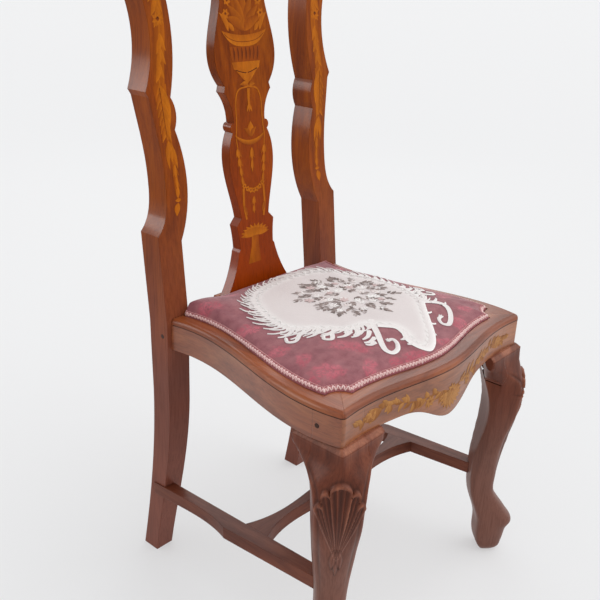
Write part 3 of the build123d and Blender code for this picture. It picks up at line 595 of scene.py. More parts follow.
def painted_rim_shadow():
    """Painted shadow: a dark strip where the rim sits on the rails, standing for the shadow line under the
    rim.
    """
    trees = [tree_of(name) for name in ("rim_front", "rim_left", "rim_right")]
    middle = Vector((0, front_y + 0.19, rail_high + 0.0008))
    verts = []
    for i in range(721):
        angle = math.radians(-225 + 0.375 * i)
        way = Vector((math.cos(angle), math.sin(angle), 0))
        hits = [hit for hit in (tree.ray_cast(middle + way * 0.5, -way) for tree in trees) if hit[0]]
        spot = min(hits, key=lambda hit: hit[3])[0] + way * 0.00025
        if spot.y > front_y + (seat_depth - 1) * mm:
            continue
        verts += [Vector((spot.x, spot.y, rail_high - 0.0007)), Vector((spot.x, spot.y, rail_high + 0.0006))]
    faces = [(i, i + 2, i + 3, i + 1) for i in range(0, len(verts) - 2, 2)]
    # The strip is drawn in the dark peg colour as a painted shadow.
    return make_object("rim_shadow_line_painted", verts, faces, peg_wood)


painted_rim_shadow()
splat_inlay()
post_inlay(-1)
post_inlay(1)
crest_inlay()
rail_inlay()


# Carved front legs and knee brackets, in millimetres: heights, then distances out along the corner's
# diagonal, out to the two faces, in to the back and half across

corner_x, stile, slope_low, ledge_high, bracket_end = 229.0, 46.0, 406.5, 413.0, 83.0
leg_out = [(0, 15), (6, 21), (22, 27), (46, 33), (64, 40), (84, 27), (127, -2), (160, -3), (241.5, 8),
           (303, 15), (349, 15.5), (366, 14), (385, 12.5), (397, 12), (413, 12)]
leg_square = [(0, 17), (8, 25), (23, 29), (51, 33), (64, 40), (84, 30.6), (127, 10), (160, 9), (241.5, 16.8),
              (303, 33), (349, 34), (397, 8), (413, 8)]
leg_in = [(0, -14), (12, -21), (70, -29), (122, -46), (168, -50), (320, -40), (371, -54.7), (413, -66.7)]
leg_half = [(0, 13), (8, 21), (26, 25), (64, 27), (140, 23), (236, 30.75), (286, 34.5), (335, 37), (360, 41),
            (374, 47.5), (385, 56), (394, 62.5), (403, 65.5), (413, 66)]
knee_cut = 353.0        # where the knee brackets end below
shell_lobes = (-1.0, -0.68, -0.33, 0.33, 0.68, 1.0)


def curve_at(points, at):
    """Smooth curve through points, read at a height."""
    spots, values = (np.array(column, float) for column in zip(*points))
    slopes = np.gradient(values, spots)
    k = int(np.clip(np.searchsorted(spots, at) - 1, 0, len(spots) - 2))
    gap = spots[k + 1] - spots[k]
    t = (at - spots[k]) / gap
    return ((1 + 2 * t) * (1 - t) ** 2 * values[k] + t * (1 - t) ** 2 * gap * slopes[k]
            + t * t * (3 - 2 * t) * values[k + 1] + t * t * (t - 1) * gap * slopes[k + 1])


def ease(low, high, value):
    t = min(max((value - low) / (high - low), 0.0), 1.0)
    return t * t * (3 - 2 * t)


def carving(t, z, half):
    """How far the carving stands out from the knee, in millimetres, and how light it is painted: painted
    highlights on ridges, lips and beads, painted shade in scoops, grooves and round the leaves.
    """
    hinge, spread = 238.0, 0.33
    far, place = math.hypot(t, z - hinge), math.atan2(t, z - hinge) / spread
    high, light = 0.0, 1.0
    if z > hinge and abs(place) < 1.15:
        within = min(max(place, -0.999), 0.999)
        k = int(np.searchsorted(shell_lobes, within)) - 1
        start, stop = shell_lobes[k], shell_lobes[k + 1]
        share = (within - start) / (stop - start)
        arch = math.sin(math.pi * share)
        rim = 123 - 36 * ((start + stop) / 2) ** 2 + 8 * arch ** 0.6
        shown = (1 - ease(rim - 1.5, rim + 1.5, far)) * (1 - ease(1.0, 1.14, abs(place)))
        thick = 1.2 + 5.3 * ease(15, 85, far) * (1 - 0.6 * place * place)
        lip = ease(rim - 8, rim - 3, far)
        ribs = (0.5 + 0.5 * math.cos(math.tau * share * (3 if k == 2 else 2))) ** 3
        ridge = max(1 - 2.6 * arch, 0.0)
        scoop = (1 - max(ridge, 0.4 * ribs)) * (1 - 0.85 * lip) * ease(6, 40, far)
        high = shown * thick * (1 - 0.66 * scoop)
        # Painted highlight on the ridges, lips and ribs of the shell, painted shade in its scoops.
        light = 1 + shown * (0.95 * max(ridge, lip, 0.45 * ribs) - 0.38 * scoop)
        # Painted shadow line just outside the shell's rim.
        light -= 0.3 * math.exp(-((far - rim - 3) / 2.5) ** 2) * (abs(place) < 1.1)
    for side in (-1, 0, 1):
        centre, low = side * (4.5 + 0.05 * (246 - z)), 212 if side == 0 else 224
        if low < z < 262:
            wide = max(4.6 * math.sin(math.pi * (z - low) / (262 - low)), 0.5)
            leaf = max(0.0, 1 - ((t - centre) / wide) ** 2)
            high = max(high, 2.4 * leaf)
            # A little painted highlight on each leaf and painted shade round its edge.
            light += 0.12 * leaf - 0.3 * math.exp(-((abs(t - centre) - wide) / 1.3) ** 2)
    inner = half - abs(t)
    part = ease(150, 240, z) * (1 - ease(397, 403, z))
    # Painted highlight on the bead along each arris and painted shade in the groove inside it; bead and
    # groove are also raised and cut in the shape.
    bead = math.exp(-((inner - 3.0) / 1.7) ** 2)
    groove = math.exp(-((inner - 7.5) / 2.0) ** 2)
    return high + part * (1.3 * bead - 0.9 * groove), light * (1 + part * (0.3 * bead - 0.35 * groove))


def leg_form(side):
    """The whole carved leg with its knee spread out on both sides, closed; its vertex tone holds painted
    highlights and painted shade.
    """
    corner = np.array((side * corner_x, 0.0))
    outward = np.array((side, -1.0)) / math.sqrt(2)
    across = np.array((1.0, side)) / math.sqrt(2)
    heights = list(np.arange(0, 12, 1.5)) + list(np.arange(12, 90, 3)) + list(np.arange(90, 210, 5))
    heights += list(np.arange(210, 376, 1.4)) + list(np.linspace(376, slope_low, 14))
    heights += list(np.linspace(slope_low + 0.2, ledge_high, 5))
    turns = np.linspace(-1, 1, 133)[:-1]
    turns = math.pi * (0.45 * turns + 0.55 * turns ** 3)
    form = bmesh.new()
    tone = form.verts.layers.float_color.new("tone")
    rows = []
    for z in heights:
        out, square = curve_at(leg_out, z), curve_at(leg_square, z) * math.sqrt(2)
        back, half = curve_at(leg_in, z), curve_at(leg_half, z)
        middle = back + 0.45 * (out - back)
        draw = max(0.0, z - slope_low)
        out, square = out - draw, square - draw * math.sqrt(2)
        power = 5.0 + 3.0 * ease(60, 260, z) + 16.0 * ease(384, 402, z)
        planes = [(1, 0, out - middle), (-1, 0, middle - back), (0, 1, half), (0, -1, half)]
        planes += [(math.sqrt(0.5), s * math.sqrt(0.5), (square - middle) * math.sqrt(0.5)) for s in (-1, 1)]
        row = []
        for turn in turns:
            c, s = math.cos(turn), math.sin(turn)
            far = sum((max(a * c + b * s, 0.0) / h) ** power for a, b, h in planes) ** (-1 / power)
            # Painted highlight on the ledge's chamfer and a lighter painted band just under the ledge; the
            # carving adds its own painted highlights and shade.
            light = 1.0 + 0.9 * ease(slope_low, slope_low + 0.4, z)
            light += 0.6 * ease(slope_low - 3, slope_low - 1, z) * (z < slope_low)
            if 150 < z < slope_low and abs(turn) < 1.6:
                high, shade = carving(far * s, z, half)
                fade = 1 - ease(1.2, 1.6, abs(turn))
                far, light = far + high * fade, light * (1 + (shade - 1) * fade)
            spot = outward * (middle + far * c) + across * (far * s)
            reach = stile + 62 * ease(352, 396, z)
            spot = corner + np.array((side * max(side * spot[0], -reach), min(spot[1], reach)))
            vert = form.verts.new((spot[0] * mm, front_y + spot[1] * mm, z * mm))
            # Tones lighter than 1 also turn greyer: a painted reflection on the highlights.
            pale = max(light, 1.0)
            vert[tone] = (light, light * pale ** 0.5, light * pale ** 0.8, 1)
            row.append(vert)
        rows.append(row)
    count = len(turns)
    for low, high in zip(rows, rows[1:]):
        for i in range(count):
            j = (i + 1) % count
            form.faces.new((low[i], low[j], high[j], high[i])).smooth = True
    form.faces.new(rows[0][::-1])
    form.faces.new(rows[-1])
    bmesh.ops.recalc_face_normals(form, faces=form.faces)
    return form


def trimmed(form, planes):
    """A copy without what lies behind each plane; the cuts are closed with flat faces."""
    form = form.copy()
    for spot, normal in planes:
        cut = bmesh.ops.bisect_plane(form, geom=form.verts[:] + form.edges[:] + form.faces[:], dist=1e-6,
                                     plane_co=spot, plane_no=normal, clear_inner=True)
        edges = [e for e in cut["geom_cut"] if isinstance(e, bmesh.types.BMEdge)]
        for face in bmesh.ops.edgeloop_fill(form, edges=edges)["faces"]:
            face.smooth = False
            face.material_index = 3
    return form


def stand_for(form, node, paints):
    """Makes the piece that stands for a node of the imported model."""
    mesh = bpy.data.meshes.new(f"carved_{node}")
    form.to_mesh(mesh)
    for paint in paints:
        mesh.materials.append(paint)
    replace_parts(add_piece(mesh), node)
    form.free()


def add_stile(form, node):
    """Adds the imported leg's part above the ledge, with the paints of the rails."""
    whole = bmesh.new()
    whole.from_mesh(cad[node].data)
    top = trimmed(whole, [((0, 0, (ledge_high + 0.3) * mm), (0, 0, 1))])
    tone = form.verts.layers.float_color["tone"]
    match = {}
    for vert in top.verts:
        match[vert] = form.verts.new(vert.co)
        match[vert][tone] = (1, 1, 1, 1)
    for face in top.faces:
        made = form.faces.new([match[v] for v in face.verts])
        made.material_index = 1 if abs(face.normal.x) > abs(face.normal.y) else 2
    whole.free()
    top.free()


def carved_leg(side, name):
    form = leg_form(side)
    edge_x, edge_y = side * (corner_x - stile) * mm, front_y + stile * mm
    end_x, end_y = side * (corner_x - bracket_end) * mm, front_y + bracket_end * mm
    low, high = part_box(f"side_knee_bracket_{name}")
    inner_x = high.x if side < 0 else low.x
    inner_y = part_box(f"front_knee_bracket_{name}")[1].y
    out, inward, up, rear, front = (side, 0, 0), (-side, 0, 0), (0, 0, 1), (0, 1, 0), (0, -1, 0)
    knee = ((0, 0, knee_cut * mm), up)
    leg = trimmed(form, [((edge_x, 0, 0), out), ((0, edge_y, 0), front)])
    beside = trimmed(form, [knee, ((0, edge_y, 0), rear), ((0, end_y, 0), front), ((inner_x, 0, 0), out)])
    before = trimmed(form, [knee, ((edge_x, 0, 0), inward), ((end_x, 0, 0), out), ((0, inner_y, 0), front)])
    add_stile(leg, f"front_leg_{name}")
    paints = [carved_wood_painted_shading, rail_wood_y, front_wood, sawn_wood]
    stand_for(leg, f"front_leg_{name}", paints)
    stand_for(beside, f"side_knee_bracket_{name}", paints)
    stand_for(before, f"front_knee_bracket_{name}", paints)
    form.free()


carved_leg(-1, "left")
carved_leg(1, "right")


# Seat

class Pad:
    """Plan and height of the stuffed seat, in metres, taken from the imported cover."""

    edge_high, crown, roll = 0.463, 0.0235, 0.0215    # the crown as cut, before it swells
    step = 0.004
    lift = None             # how far the cloth simulation raises it, on a grid

    def __init__(self, rays=1080):
        tree = tree_of("seat_cover")
        low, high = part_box("seat_cover")
        self.middle = np.array((0.0, (low.y + high.y) / 2))
        angles = math.tau * (np.arange(rays) + 0.37) / rays
        ways = np.column_stack([np.cos(angles), np.sin(angles)])
        reach = []
        for way in ways:
            start = Vector((*(self.middle + 0.5 * way), low.z + 0.004))
            spot = np.array(tree.ray_cast(start, Vector((*-way, 0)))[0].xy)
            side = (spot - self.middle) @ way
            rear = (high.y - self.middle[1]) / way[1] if way[1] > 0.01 else 9.0
            reach.append(min(side, rear) if side > 0 else rear)
        steady = np.median([np.roll(reach, shift) for shift in (-1, 0, 1)], axis=0)
        self.edge = self.middle + ways * (steady[:, None] + 0.0009)
        self.fine = resample(self.edge, 1400)
        back = self.fine[:, 1] - front_y
        self.steep = np.array([10.0 if y > 0.3693 else 1 + (9 if x < 0 else 4) * ease(0.16, 0.372, y)
                               for x, y in zip(self.fine[:, 0], back)])

    def depth(self, spots):
        """How far in from the edge each spot lies."""
        found = []
        for part in np.array_split(spots, max(1, len(spots) // 2000)):
            gap = part[:, None, :] - self.fine[None, :, :]
            found.append((np.sqrt((gap ** 2).sum(2)) * self.steep).min(1))
        return np.concatenate(found)

    def uneven(self, x):
        """How much higher or lower the stuffing stands along the rear edge."""
        left, middle, right = ease(0.09, 0.16, -x), 1 - ease(0.08, 0.15, abs(x)), ease(0.09, 0.16, x)
        return 0.005 * left - 0.0045 * middle - 0.009 * right

    def heights(self, spots):
        deep = self.depth(spots)
        rise = 1 - np.exp(-(deep / self.roll) ** 0.75)
        lumps = np.array([noise.noise(Vector((x * 14, y * 14, 3.1))) for x, y in spots])
        ripple = np.array([noise.noise(Vector((x * 60, y * 60, 7.7))) for x, y in spots])
        full = self.crown + np.array([self.uneven(x) * ease(0.22, 0.36, y - front_y) for x, y in spots])
        high = self.edge_high + (full + 0.0016 * lumps) * rise + 0.0007 * ripple * np.exp(-deep / 0.02)
        return high if self.lift is None else high + self.lift_at(spots)

    def lift_at(self, spots):
        at = (spots - self.low) / self.step
        cell = np.clip(at.astype(int), 0, np.array(self.lift.shape) - 2)
        return within_cell(self.lift, *cell.T, *(at - cell).T)

    def cut_form(self):
        """The cover as it is cut, as an object of even small faces."""
        count, rings, below, voxel = 240, 26, 0.006, 0.005
        edge = resample(self.edge, count)
        shares = [1 - (ring / rings) ** 1.3 for ring in range(rings)]
        flat = np.vstack([self.middle + (edge - self.middle) * share for share in shares])
        verts = [(x, y, self.edge_high - below) for x, y in edge]
        verts += [(x, y, z) for (x, y), z in zip(flat, self.heights(flat))]
        faces = ring_faces(rings, count)
        faces += [tuple(range(rings * count, (rings + 1) * count)), tuple(reversed(range(count)))]
        rough = bpy.data.meshes.new("cover_cut")
        rough.from_pydata(verts, [], faces)
        cloth = bpy.data.objects.new("cover_cut", rough)
        bpy.context.scene.collection.objects.link(cloth)
        voxels = cloth.modifiers.new("voxels", "REMESH")
        voxels.mode, voxels.voxel_size = "VOXEL", voxel
        even = bpy.data.meshes.new_from_object(cloth.evaluated_get(bpy.context.evaluated_depsgraph_get()))
        cloth.modifiers.remove(voxels)
        cloth.data = even
        bpy.data.meshes.remove(rough)
        return cloth

    def swell(self):
        """Cloth simulation: the cover, tacked down all round its edge, swells over the stuffing."""
        pressure, frames, tack_high = 1.5, 20, 0.002
        scene = bpy.context.scene
        cloth = self.cut_form()
        tacked = cloth.vertex_groups.new(name="tacked")
        held = [v.index for v in cloth.data.vertices if v.co.z < self.edge_high + tack_high]
        tacked.add(held, 1.0, "REPLACE")
        before = BVHTree.FromObject(cloth, bpy.context.evaluated_depsgraph_get())
        sim = cloth.modifiers.new("cloth", "CLOTH")
        sim.settings.use_pressure, sim.settings.uniform_pressure_force = True, pressure
        sim.settings.vertex_group_mass = "tacked"
        sim.settings.effector_weights.gravity = 0.0
        sim.point_cache.frame_start, sim.point_cache.frame_end = 1, frames
        for at in range(1, frames + 1):
            scene.frame_set(at)
        after = BVHTree.FromObject(cloth, bpy.context.evaluated_depsgraph_get())
        self.lift = self.lift_grid(before, after)
        even = cloth.data
        bpy.data.objects.remove(cloth)
        bpy.data.meshes.remove(even)
        scene.frame_set(1)

    def lift_grid(self, before, after):
        """How far the cloth rose, seen from above; it is limited smoothly and fades out at the edge."""
        most, least, margin, above = 0.005, 0.001, 0.012, 0.7
        self.low = self.edge.min(0) - margin
        sizes = np.ceil((self.edge.max(0) + margin - self.low) / self.step).astype(int) + 1
        lift = np.zeros(sizes)
        down = Vector((0, 0, -1))
        for i, j in np.ndindex(*sizes):
            spot = self.low + self.step * np.array((i, j))
            inward = np.sqrt(((self.fine - spot) ** 2).sum(1)).min()
            seen = [form.ray_cast(Vector((*spot, above)), down)[0] for form in (before, after)]
            if None not in seen:
                moved = seen[1].z - seen[0].z
                cap = most if moved > 0 else least
                lift[i, j] = cap * math.tanh(moved / cap) * ease(0.006, 0.026, inward)
        for smoothing in range(2):
            wide = np.pad(lift, 1, mode="edge")
            lift = (2 * lift + wide[2:, 1:-1] + wide[:-2, 1:-1] + wide[1:-1, 2:] + wide[1:-1, :-2]) / 6
        return lift


def within_cell(grid, i, j, u, v):
    """Value inside a cell of a grid, from its four corners."""
    front = grid[i, j] * (1 - u) + grid[i + 1, j] * u
    rear = grid[i, j + 1] * (1 - u) + grid[i + 1, j + 1] * u
    return front * (1 - v) + rear * v


def resample(loop, count):
    """Evenly spaced points round a closed line."""
    closed = np.vstack([loop, loop[:1]])
    run = np.concatenate([[0], np.cumsum(np.linalg.norm(np.diff(closed, axis=0), axis=1))])
    at = np.linspace(0, run[-1], count, endpoint=False)
    return np.column_stack([np.interp(at, run, closed[:, k]) for k in (0, 1)])


pad = Pad()
pad.swell()


# Red patches of the damask: middle, half length, half width and turn
patches = [
    (-108, 95, 36, 14, -49), (-173, 73, 27, 16, -49), (-122, 42, 25, 11, 41), (-174, 119, 18, 12, 41),
    (-176, 163, 19, 13, -49), (-165, 239, 22, 13, -49), (-45, 23, 30, 12, -10), (36, 17, 22, 11, -20),
    (104, 40, 22, 15, 41), (-155, 330, 22, 13, -49), (-198, 76, 14, 11, 0), (168, 112, 24, 15, 41),
    (180, 225, 26, 13, 80), (158, 318, 24, 14, 20), (-100, 348, 22, 9, 0), (40, 350, 26, 9, 0),
    (-80, 30, 14, 8, 30), (150, 60, 15, 9, -20),
]


def patch_at(x, y):
    """How much of the red figure shows at a place on the seat, given in metres."""
    x, y = x / mm, (y - front_y) / mm
    share = 0.0
    ragged = 0.45 * noise.noise(Vector((x * 0.09, y * 0.09, 2.0)))
    for px, py, long, wide, turn in patches:
        c, s = math.cos(math.radians(turn)), math.sin(math.radians(turn))
        u, v = ((x - px) * c + (y - py) * s) / long, ((y - py) * c - (x - px) * s) / wide
        share = max(share, 1 - ease(0.7, 1.1, math.hypot(u, v) + ragged))
    return share


def seat_piece():
    """The stuffed and covered seat, closed underneath."""
    rings = 54
    count = len(pad.edge)
    spots = []
    for ring in range(rings):
        share = (ring / rings) ** 1.5
        spots.append(pad.middle + (pad.edge - pad.middle) * (1 - share))
    flat = np.vstack(spots)
    high = pad.heights(flat)
    low = rail_high + 0.0004
    verts = [(x, y, low) for x, y in pad.edge]
    verts += [(x, y, z) for (x, y), z in zip(flat, high)]
    top, bottom = len(verts), len(verts) + 1
    verts.append((*pad.middle, high[-count:].mean()))
    verts.append((*pad.middle, low))
    faces = ring_faces(rings, count)
    for i in range(count):
        j = (i + 1) % count
        faces.append((rings * count + i, rings * count + j, top))
        faces.append((j, i, bottom))
    tones = [(share, share, share, 1) for share in (patch_at(x, y) for x, y, z in verts)]
    piece = make_object("stuffed_seat", verts, faces, damask, tones)
    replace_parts(piece, "seat_cover", "seat_stuffing")
    return piece


class OnPad:
    """Puts flat drawings, in millimetres, on the seat; heights come from a fine grid of it."""

    step = 0.002

    def __init__(self):
        low, high = pad.edge.min(0) - 0.006, pad.edge.max(0) + 0.006
        self.low = low
        self.shape = np.ceil((high - low) / self.step).astype(int) + 1
        lines = [low[k] + self.step * np.arange(self.shape[k]) for k in (0, 1)]
        grid = np.stack(np.meshgrid(*lines, indexing="ij"), -1)
        self.grid = pad.heights(grid.reshape(-1, 2)).reshape(self.shape)

    def height(self, x, y):
        u, v = (x - self.low[0]) / self.step, (y - self.low[1]) / self.step
        i, j = int(min(max(u, 0), self.shape[0] - 2)), int(min(max(v, 0), self.shape[1] - 2))
        return within_cell(self.grid, i, j, u - i, v - j)

    def __call__(self, x, y, lift):
        x, y = x * mm, front_y + y * mm
        return Vector((x, y, self.height(x, y) + lift * mm))


on_pad = OnPad()
white, cream, ash = rgb(252, 250, 248), rgb(234, 226, 225), rgb(214, 205, 205)
rose, blush, taupe, smoke = rgb(206, 172, 172), rgb(228, 210, 208), rgb(156, 139, 134), rgb(118, 102, 97)

# Outline of the panel, from its front tip round by the right side
panel_points = [
    (-12, 22), (4, 25), (20, 35), (36, 48), (50, 62), (64, 76), (80, 92), (96, 106), (114, 120), (130, 140),
    (143, 172), (145, 210), (140, 254), (129, 292), (106, 322), (60, 340), (0, 343), (-50, 335), (-91, 311),
    (-115, 280), (-129, 246), (-137, 206), (-128, 176), (-110, 156), (-94, 138), (-78, 122), (-56, 118),
    (-36, 116), (-20, 102), (-8, 84), (-10, 66), (-20, 50), (-19, 34),
]


def panel_outline():
    """Outline of the panel's ground; behind its front tip it leaves room for the feathers."""
    line = np.array(smooth_line(panel_points + panel_points[:1], 6)[:-1])
    ahead = np.roll(line, -2, axis=0) - np.roll(line, 2, axis=0)
    ahead /= np.linalg.norm(ahead, axis=1)[:, None]
    inward = np.column_stack([-ahead[:, 1], ahead[:, 0]])
    return line + inward * np.array([9 * ease(105, 140, y) for y in line[:, 1]])[:, None]


def inside(outline, x, y):
    ahead = np.roll(outline, -1, axis=0)
    crosses = (outline[:, 1] > y) != (ahead[:, 1] > y)
    slope = (ahead[:, 0] - outline[:, 0]) * (y - outline[:, 1])
    rise = np.where(crosses, ahead[:, 1] - outline[:, 1], 1.0)
    return bool(np.count_nonzero(crosses & (x < outline[:, 0] + slope / rise)) % 2)


def panel_piece(outline):
    """Pale ground of the embroidered panel."""
    step = 2.5
    low, high = outline.min(0), outline.max(0)
    columns = int((high[0] - low[0]) / step) + 2
    rows = int((high[1] - low[1]) / step) + 2
    index, verts, faces, tones = {}, [], [], []
    for i in range(columns):
        for j in range(rows):
            x, y = low[0] + i * step, low[1] + j * step
            if not inside(outline, x + step / 2, y + step / 2):
                continue
            corners = []
            for a, b in ((i, j), (i + 1, j), (i + 1, j + 1), (i, j + 1)):
                if (a, b) not in index:
                    index[a, b] = len(verts)
                    px, py = low[0] + a * step, low[1] + b * step
                    verts.append(on_pad(px, py, 0.5))
                    stain = 0.2 + 0.2 * noise.noise(Vector((px * 0.02, py * 0.02, 1.0)))
                    gap = np.sqrt(((outline - (px, py)) ** 2).sum(1)).min()
                    lace = math.exp(-(gap / 11) ** 2)
                    ground = np.array(cream) * (1 - stain) + np.array(ash) * stain
                    tones.append(tuple(ground * (1 - lace) + np.array(white) * lace))
                corners.append(index[a, b])
            faces.append(corners)
    return make_object("seat_panel", verts, faces, embroidery, tones)


# Scrolls, front tongue, leaves (foot, length and turn) and hooks of the panel's border
scrolls = [
    [(-18, 122), (-32, 106), (-46, 88), (-60, 70), (-69, 55), (-66, 45), (-53, 46), (-42, 55), (-39, 65),
     (-46, 68)],
    [(98, 114), (112, 104), (123, 92), (124, 78), (114, 64), (96, 51), (80, 45), (73, 52), (79, 62),
     (89, 65)],
]
tongue = [
    (-26, 104), (-8, 84), (-10, 66), (-20, 50), (-19, 32), (-10, 22), (4, 25), (20, 35), (36, 48), (50, 62),
    (64, 76), (80, 92), (98, 108), (112, 118),
]
border_leaves = [
    (-74, 116, 30, 205), (-60, 108, 28, 215), (-50, 100, 30, 225), (-58, 84, 24, 205), (-66, 76, 18, 190),
    (-92, 134, 26, 200), (-104, 150, 28, 205), (-118, 166, 28, 200), (-128, 182, 26, 195), (-20, 56, 11, 200),
    (-21, 42, 10, 190), (52, 62, 11, -60), (32, 44, 10, -70), (74, 84, 11, -50), (106, 112, 28, 0),
    (112, 100, 24, -15), (120, 84, 14, -20), (118, 122, 30, 10), (128, 138, 30, 5),
]
hooks = [
    ((-128, 168), (-144, 160), (-153, 168), (-147, 178)), ((-96, 134), (-112, 120), (-120, 128), (-112, 136)),
    ((140, 150), (156, 144), (162, 156), (153, 163)), ((130, 136), (146, 120), (157, 125), (151, 135)),
]
lace_tones = (cream, white)


def panel_border(outline):
    """Feathered white scrolls round the panel."""
    strips = Strips(on_pad, 0.6)
    strips.stroke(list(outline) + [outline[0]], 7.0, 7.0, lace_tones, 0.7, 1)
    line = resample(outline, 66)
    for i, spot in enumerate(line):
        after = line[(i + 1) % len(line)]
        ahead = after - line[i - 1]
        ahead = ahead / np.linalg.norm(ahead)
        out = np.array((ahead[1], -ahead[0]))
        back = ahead * (1 if ahead[1] > 0 else -1)
        scallop = [spot - out * 2, (spot + after) / 2 - out * dice.uniform(6, 10), after - out * 2]
        strips.stroke(scallop, 3.4, 2.2, lace_tones, 0.9, 4)
        if spot[1] < 112:
            continue
        for share, reach, wide in ((0.0, 28, 6.4), (0.36, 15, 4.6), (0.66, 21, 5.4)):
            foot = spot + (after - spot) * share - out * 2
            reach *= dice.uniform(0.8, 1.15)
            lean = dice.uniform(0.1, 0.35)
            bends = ((0.35, -0.06), (0.72, lean), (0.92, lean + 0.38))
            feather = [foot] + [foot + reach * (far * out + turned * back) for far, turned in bends]
            strips.stroke(feather, wide, 1.8, lace_tones, 1.1, 4)
    for scroll in scrolls:
        strips.stroke(scroll, 11.0, 5.5, lace_tones, 1.6)
        strips.flower(*scroll[-1], 4.5, 6, lace_tones, lace_tones, 1.2)
    strips.stroke(tongue, 11.0, 11.0, lace_tones, 1.6)
    for x, y, long, turn in border_leaves:
        curl = -28 if x < 40 else 28
        bow = [(x + share * long * math.cos(math.radians(turn + share * curl)),
                y + share * long * math.sin(math.radians(turn + share * curl))) for share in (0, 0.5, 0.8, 1)]
        strips.stroke(bow, 5 + long * 0.1, 2.4, lace_tones, 1.4, 4)
    for hook in hooks:
        strips.stroke(hook, 7.5, 5.0, lace_tones, 1.5)
    return strips.finish("panel_border", embroidery, "damask")


def bouquet():
    """Loose bunch of pale flowers and dull leaves on the panel."""
    strips = Strips(on_pad, 0.6)
    middle = np.array((32.0, 212.0))
    leaf_tones = ((smoke, taupe), (smoke, smoke), (taupe, taupe), (taupe, ash))
    petal_tones = ((blush, white), (cream, white), (white, white), (rose, blush))

    def spot_in(i, count, reach):
        angle, far = 2.4 * i, reach * math.sqrt((i + 0.5) / count)
        aside = dice.uniform(-5, 5), dice.uniform(-5, 5)
        return middle + far * np.array((math.cos(angle), math.sin(angle))) + aside, angle

    def twigs(count, reach):
        for i in range(count):
            spot, angle = spot_in(i, count, reach)
            angle += dice.uniform(-0.6, 0.6)
            for step, turn in enumerate((0.75, -0.75, 0.5, -0.5, 0.0)[dice.randrange(3):]):
                foot = spot + 3.5 * step * np.array((math.cos(angle), math.sin(angle)))
                tip = foot + dice.uniform(8, 13) * np.array((math.cos(angle + turn), math.sin(angle + turn)))
                wide, bend = dice.uniform(4.5, 6.5), dice.uniform(-2, 2)
                strips.leaf(*foot, *tip, wide, bend, dice.choice(leaf_tones), 0.5, 8)

    def flowers(count, reach):
        for i in range(count):
            spot, angle = spot_in(i + 0.5, count, reach)
            strips.flower(*spot, dice.uniform(6, 10), 6, dice.choice(petal_tones), (rose, taupe), 0.8)

    twigs(44, 76)
    flowers(26, 72)
    twigs(26, 62)
    flowers(9, 50)
    return strips.finish("panel_bouquet", embroidery, "damask")


def gimp():
    """Braid laid round the pad over the tacks: flat cords, two zigzags on them and a looped edge."""
    path = resample(pad.edge, 2400)
    ahead = np.roll(path, -3, axis=0) - np.roll(path, 3, axis=0)
    ahead /= np.linalg.norm(ahead, axis=1)[:, None]
    inward = np.column_stack([-ahead[:, 1], ahead[:, 0]])
    length = np.linalg.norm(np.diff(path, axis=0), axis=1).sum()
    pink, rosy, light = rgb(182, 106, 112), rgb(222, 160, 160), rgb(252, 220, 216)
    verts, faces, tones = [], [], []
    sides = 6

    nearest = [int(((pad.fine - spot) ** 2).sum(1).argmin()) for spot in path]
    inner = np.linspace(0, 0.009, 120)
    rise = pad.crown * (1 - np.exp(-(inner[None, :] * pad.steep[nearest][:, None] / pad.roll) ** 0.75))
    pieces = np.hypot(np.diff(inner)[None, :], np.diff(rise, axis=1))
    run = np.concatenate([np.zeros((len(path), 1)), np.cumsum(pieces, 1)], 1)
    ahead_by = 0.0004

    def on_fabric(k, along, lift):
        """Place on the fabric a distance in from its edge, and a lift off it."""
        flat, next_flat = (np.interp(at, run[k], inner) for at in (along, along + ahead_by))
        high, next_high = (np.interp(at, run[k], rise[k]) for at in (along, along + ahead_by))
        slope = np.array((next_flat - flat, next_high - high)) / ahead_by
        flat, high = flat - slope[1] * lift, high + slope[0] * lift
        return np.append(path[k] + inward[k] * flat, pad.edge_high + high)

    def cord(wide, centre, turns, phase, lift, radius, tone):
        start = len(verts)
        count = len(path)
        angle = math.tau * turns * np.arange(count) / count + phase
        loose = np.array([0.9 + 0.6 * noise.noise(Vector((x * 140, y * 140, 4.0))) for x, y in path])
        sway = centre + wide * loose * np.array([math.sin(a) for a in angle])
        weave = lift + 0.0007 * np.array([math.cos(2 * a) for a in angle])
        spots = np.array([on_fabric(k, sway[k], weave[k]) for k in range(count)])
        for k in range(count):
            way = spots[(k + 1) % count] - spots[k - 1]
            way /= max(np.linalg.norm(way), 1e-9)
            side = np.cross((0.0, 0.0, 1.0), way)
            side /= max(np.linalg.norm(side), 1e-9)
            upright = np.cross(way, side)
            for s in range(sides):
                turn = math.tau * s / sides
                verts.append(spots[k] + radius * (side * math.cos(turn) + upright * math.sin(turn)))
                tones.append(tone)
        for k in range(count):
            here, ahead_row = start + k * sides, start + (k + 1) % count * sides
            for s in range(sides):
                t = (s + 1) % sides
                faces.append((here + s, ahead_row + s, ahead_row + t, here + t))

    period = 0.0062
    turns = round(length / period)
    for centre in (0.0016, 0.0031, 0.0046, 0.0061, 0.0076, 0.0090):
        cord(0.0001, centre, turns, 0.0, 0.0002, 0.0009, pink)
    cord(0.0027, 0.0058, turns, 0.0, 0.0013, 0.0009, light)
    cord(0.0025, 0.0058, turns, 2.2, 0.0010, 0.0008, rosy)
    cord(0.0008, 0.0100, 2 * turns, 0.0, 0.0006, 0.0005, rosy)
    piece = make_object("gimp", verts, faces, braid, tones)
    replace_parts(piece, "gimp_braid")
    return piece


seat_piece()
outline = panel_outline()
panel_piece(outline)
panel_border(outline)
bouquet()
gimp()


# Floor, light and camera

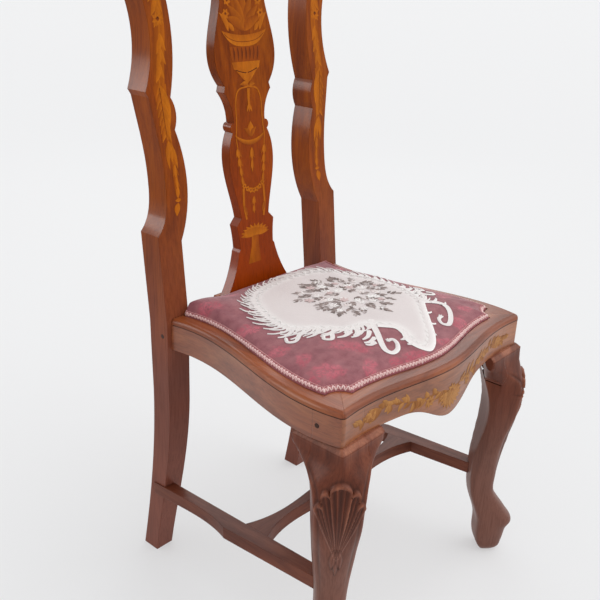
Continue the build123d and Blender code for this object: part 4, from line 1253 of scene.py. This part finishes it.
def make_stage():
    size = 40.0
    mesh = bpy.data.meshes.new("floor")
    corners = [(-size, -size, 0), (size, -size, 0), (size, size, 0), (-size, size, 0)]
    mesh.from_pydata(corners, [], [(0, 1, 2, 3)])
    floor = bpy.data.objects.new("floor", mesh)
    bpy.context.scene.collection.objects.link(floor)
    paint = Paint("floor")
    pale_grey, glow = (0.36, 0.362, 0.366, 1), (1.0, 1.005, 1.015, 1)
    mesh.materials.append(paint.finish(pale_grey, 0.8, Emission_Color=glow, Emission_Strength=0.455))


def make_world():
    world = bpy.data.worlds.new("studio")
    bpy.context.scene.world = world
    world.use_nodes = True
    shade = world.node_tree.nodes["Background"]
    shade.inputs["Color"].default_value = (1.0, 1.0, 1.0, 1)
    shade.inputs["Strength"].default_value = 0.8


def make_softbox(name, spot, aim, wide, high, energy):
    """Large lamp that only shows in polished surfaces."""
    lamp = bpy.data.lights.new(name, "AREA")
    lamp.shape, lamp.size, lamp.size_y, lamp.energy = "RECTANGLE", wide, high, energy
    light = bpy.data.objects.new(name, lamp)
    light.location = spot
    light.rotation_euler = (Vector(aim) - Vector(spot)).to_track_quat("-Z", "Y").to_euler()
    light.visible_diffuse = light.visible_camera = False
    bpy.context.scene.collection.objects.link(light)


def make_light(name, kind, energy, turn, **settings):
    lamp = bpy.data.lights.new(name, kind)
    lamp.energy = energy
    for key, value in settings.items():
        setattr(lamp, key, value)
    light = bpy.data.objects.new(name, lamp)
    light.rotation_euler = [math.radians(a) for a in turn]
    bpy.context.scene.collection.objects.link(light)


def make_camera():
    yaw, pitch, roll, focal = 0.857, -0.3933, 0.0414, 833.394
    forward = Vector((math.sin(yaw) * math.cos(pitch), math.cos(yaw) * math.cos(pitch), math.sin(pitch)))
    level = Vector((math.cos(yaw), -math.sin(yaw), 0))
    upright = level.cross(forward)
    right = level * math.cos(roll) + upright * math.sin(roll)
    up = upright * math.cos(roll) - level * math.sin(roll)
    data = bpy.data.cameras.new("camera")
    data.sensor_width = 36.0
    data.lens = focal / 600 * data.sensor_width
    camera = bpy.data.objects.new("camera", data)
    bpy.context.scene.collection.objects.link(camera)
    turn = Matrix((right, up, -forward)).transposed().to_4x4()
    camera.matrix_world = Matrix.Translation((-0.96219, front_y - 0.55256, 0.99814)) @ turn
    bpy.context.scene.camera = camera


make_stage()
make_world()
make_light("key", "SUN", 1.1, (38, 22, 20), angle=1.2)
make_softbox("left_box", (-2.0, 1.6, 1.7), (0, 0, 0.6), 1.8, 1.3, 24)
make_softbox("right_box", (2.2, 2.2, 1.8), (0, 0, 0.3), 2.6, 1.6, 22)
make_camera()
bpy.context.scene.view_settings.view_transform = "Standard"
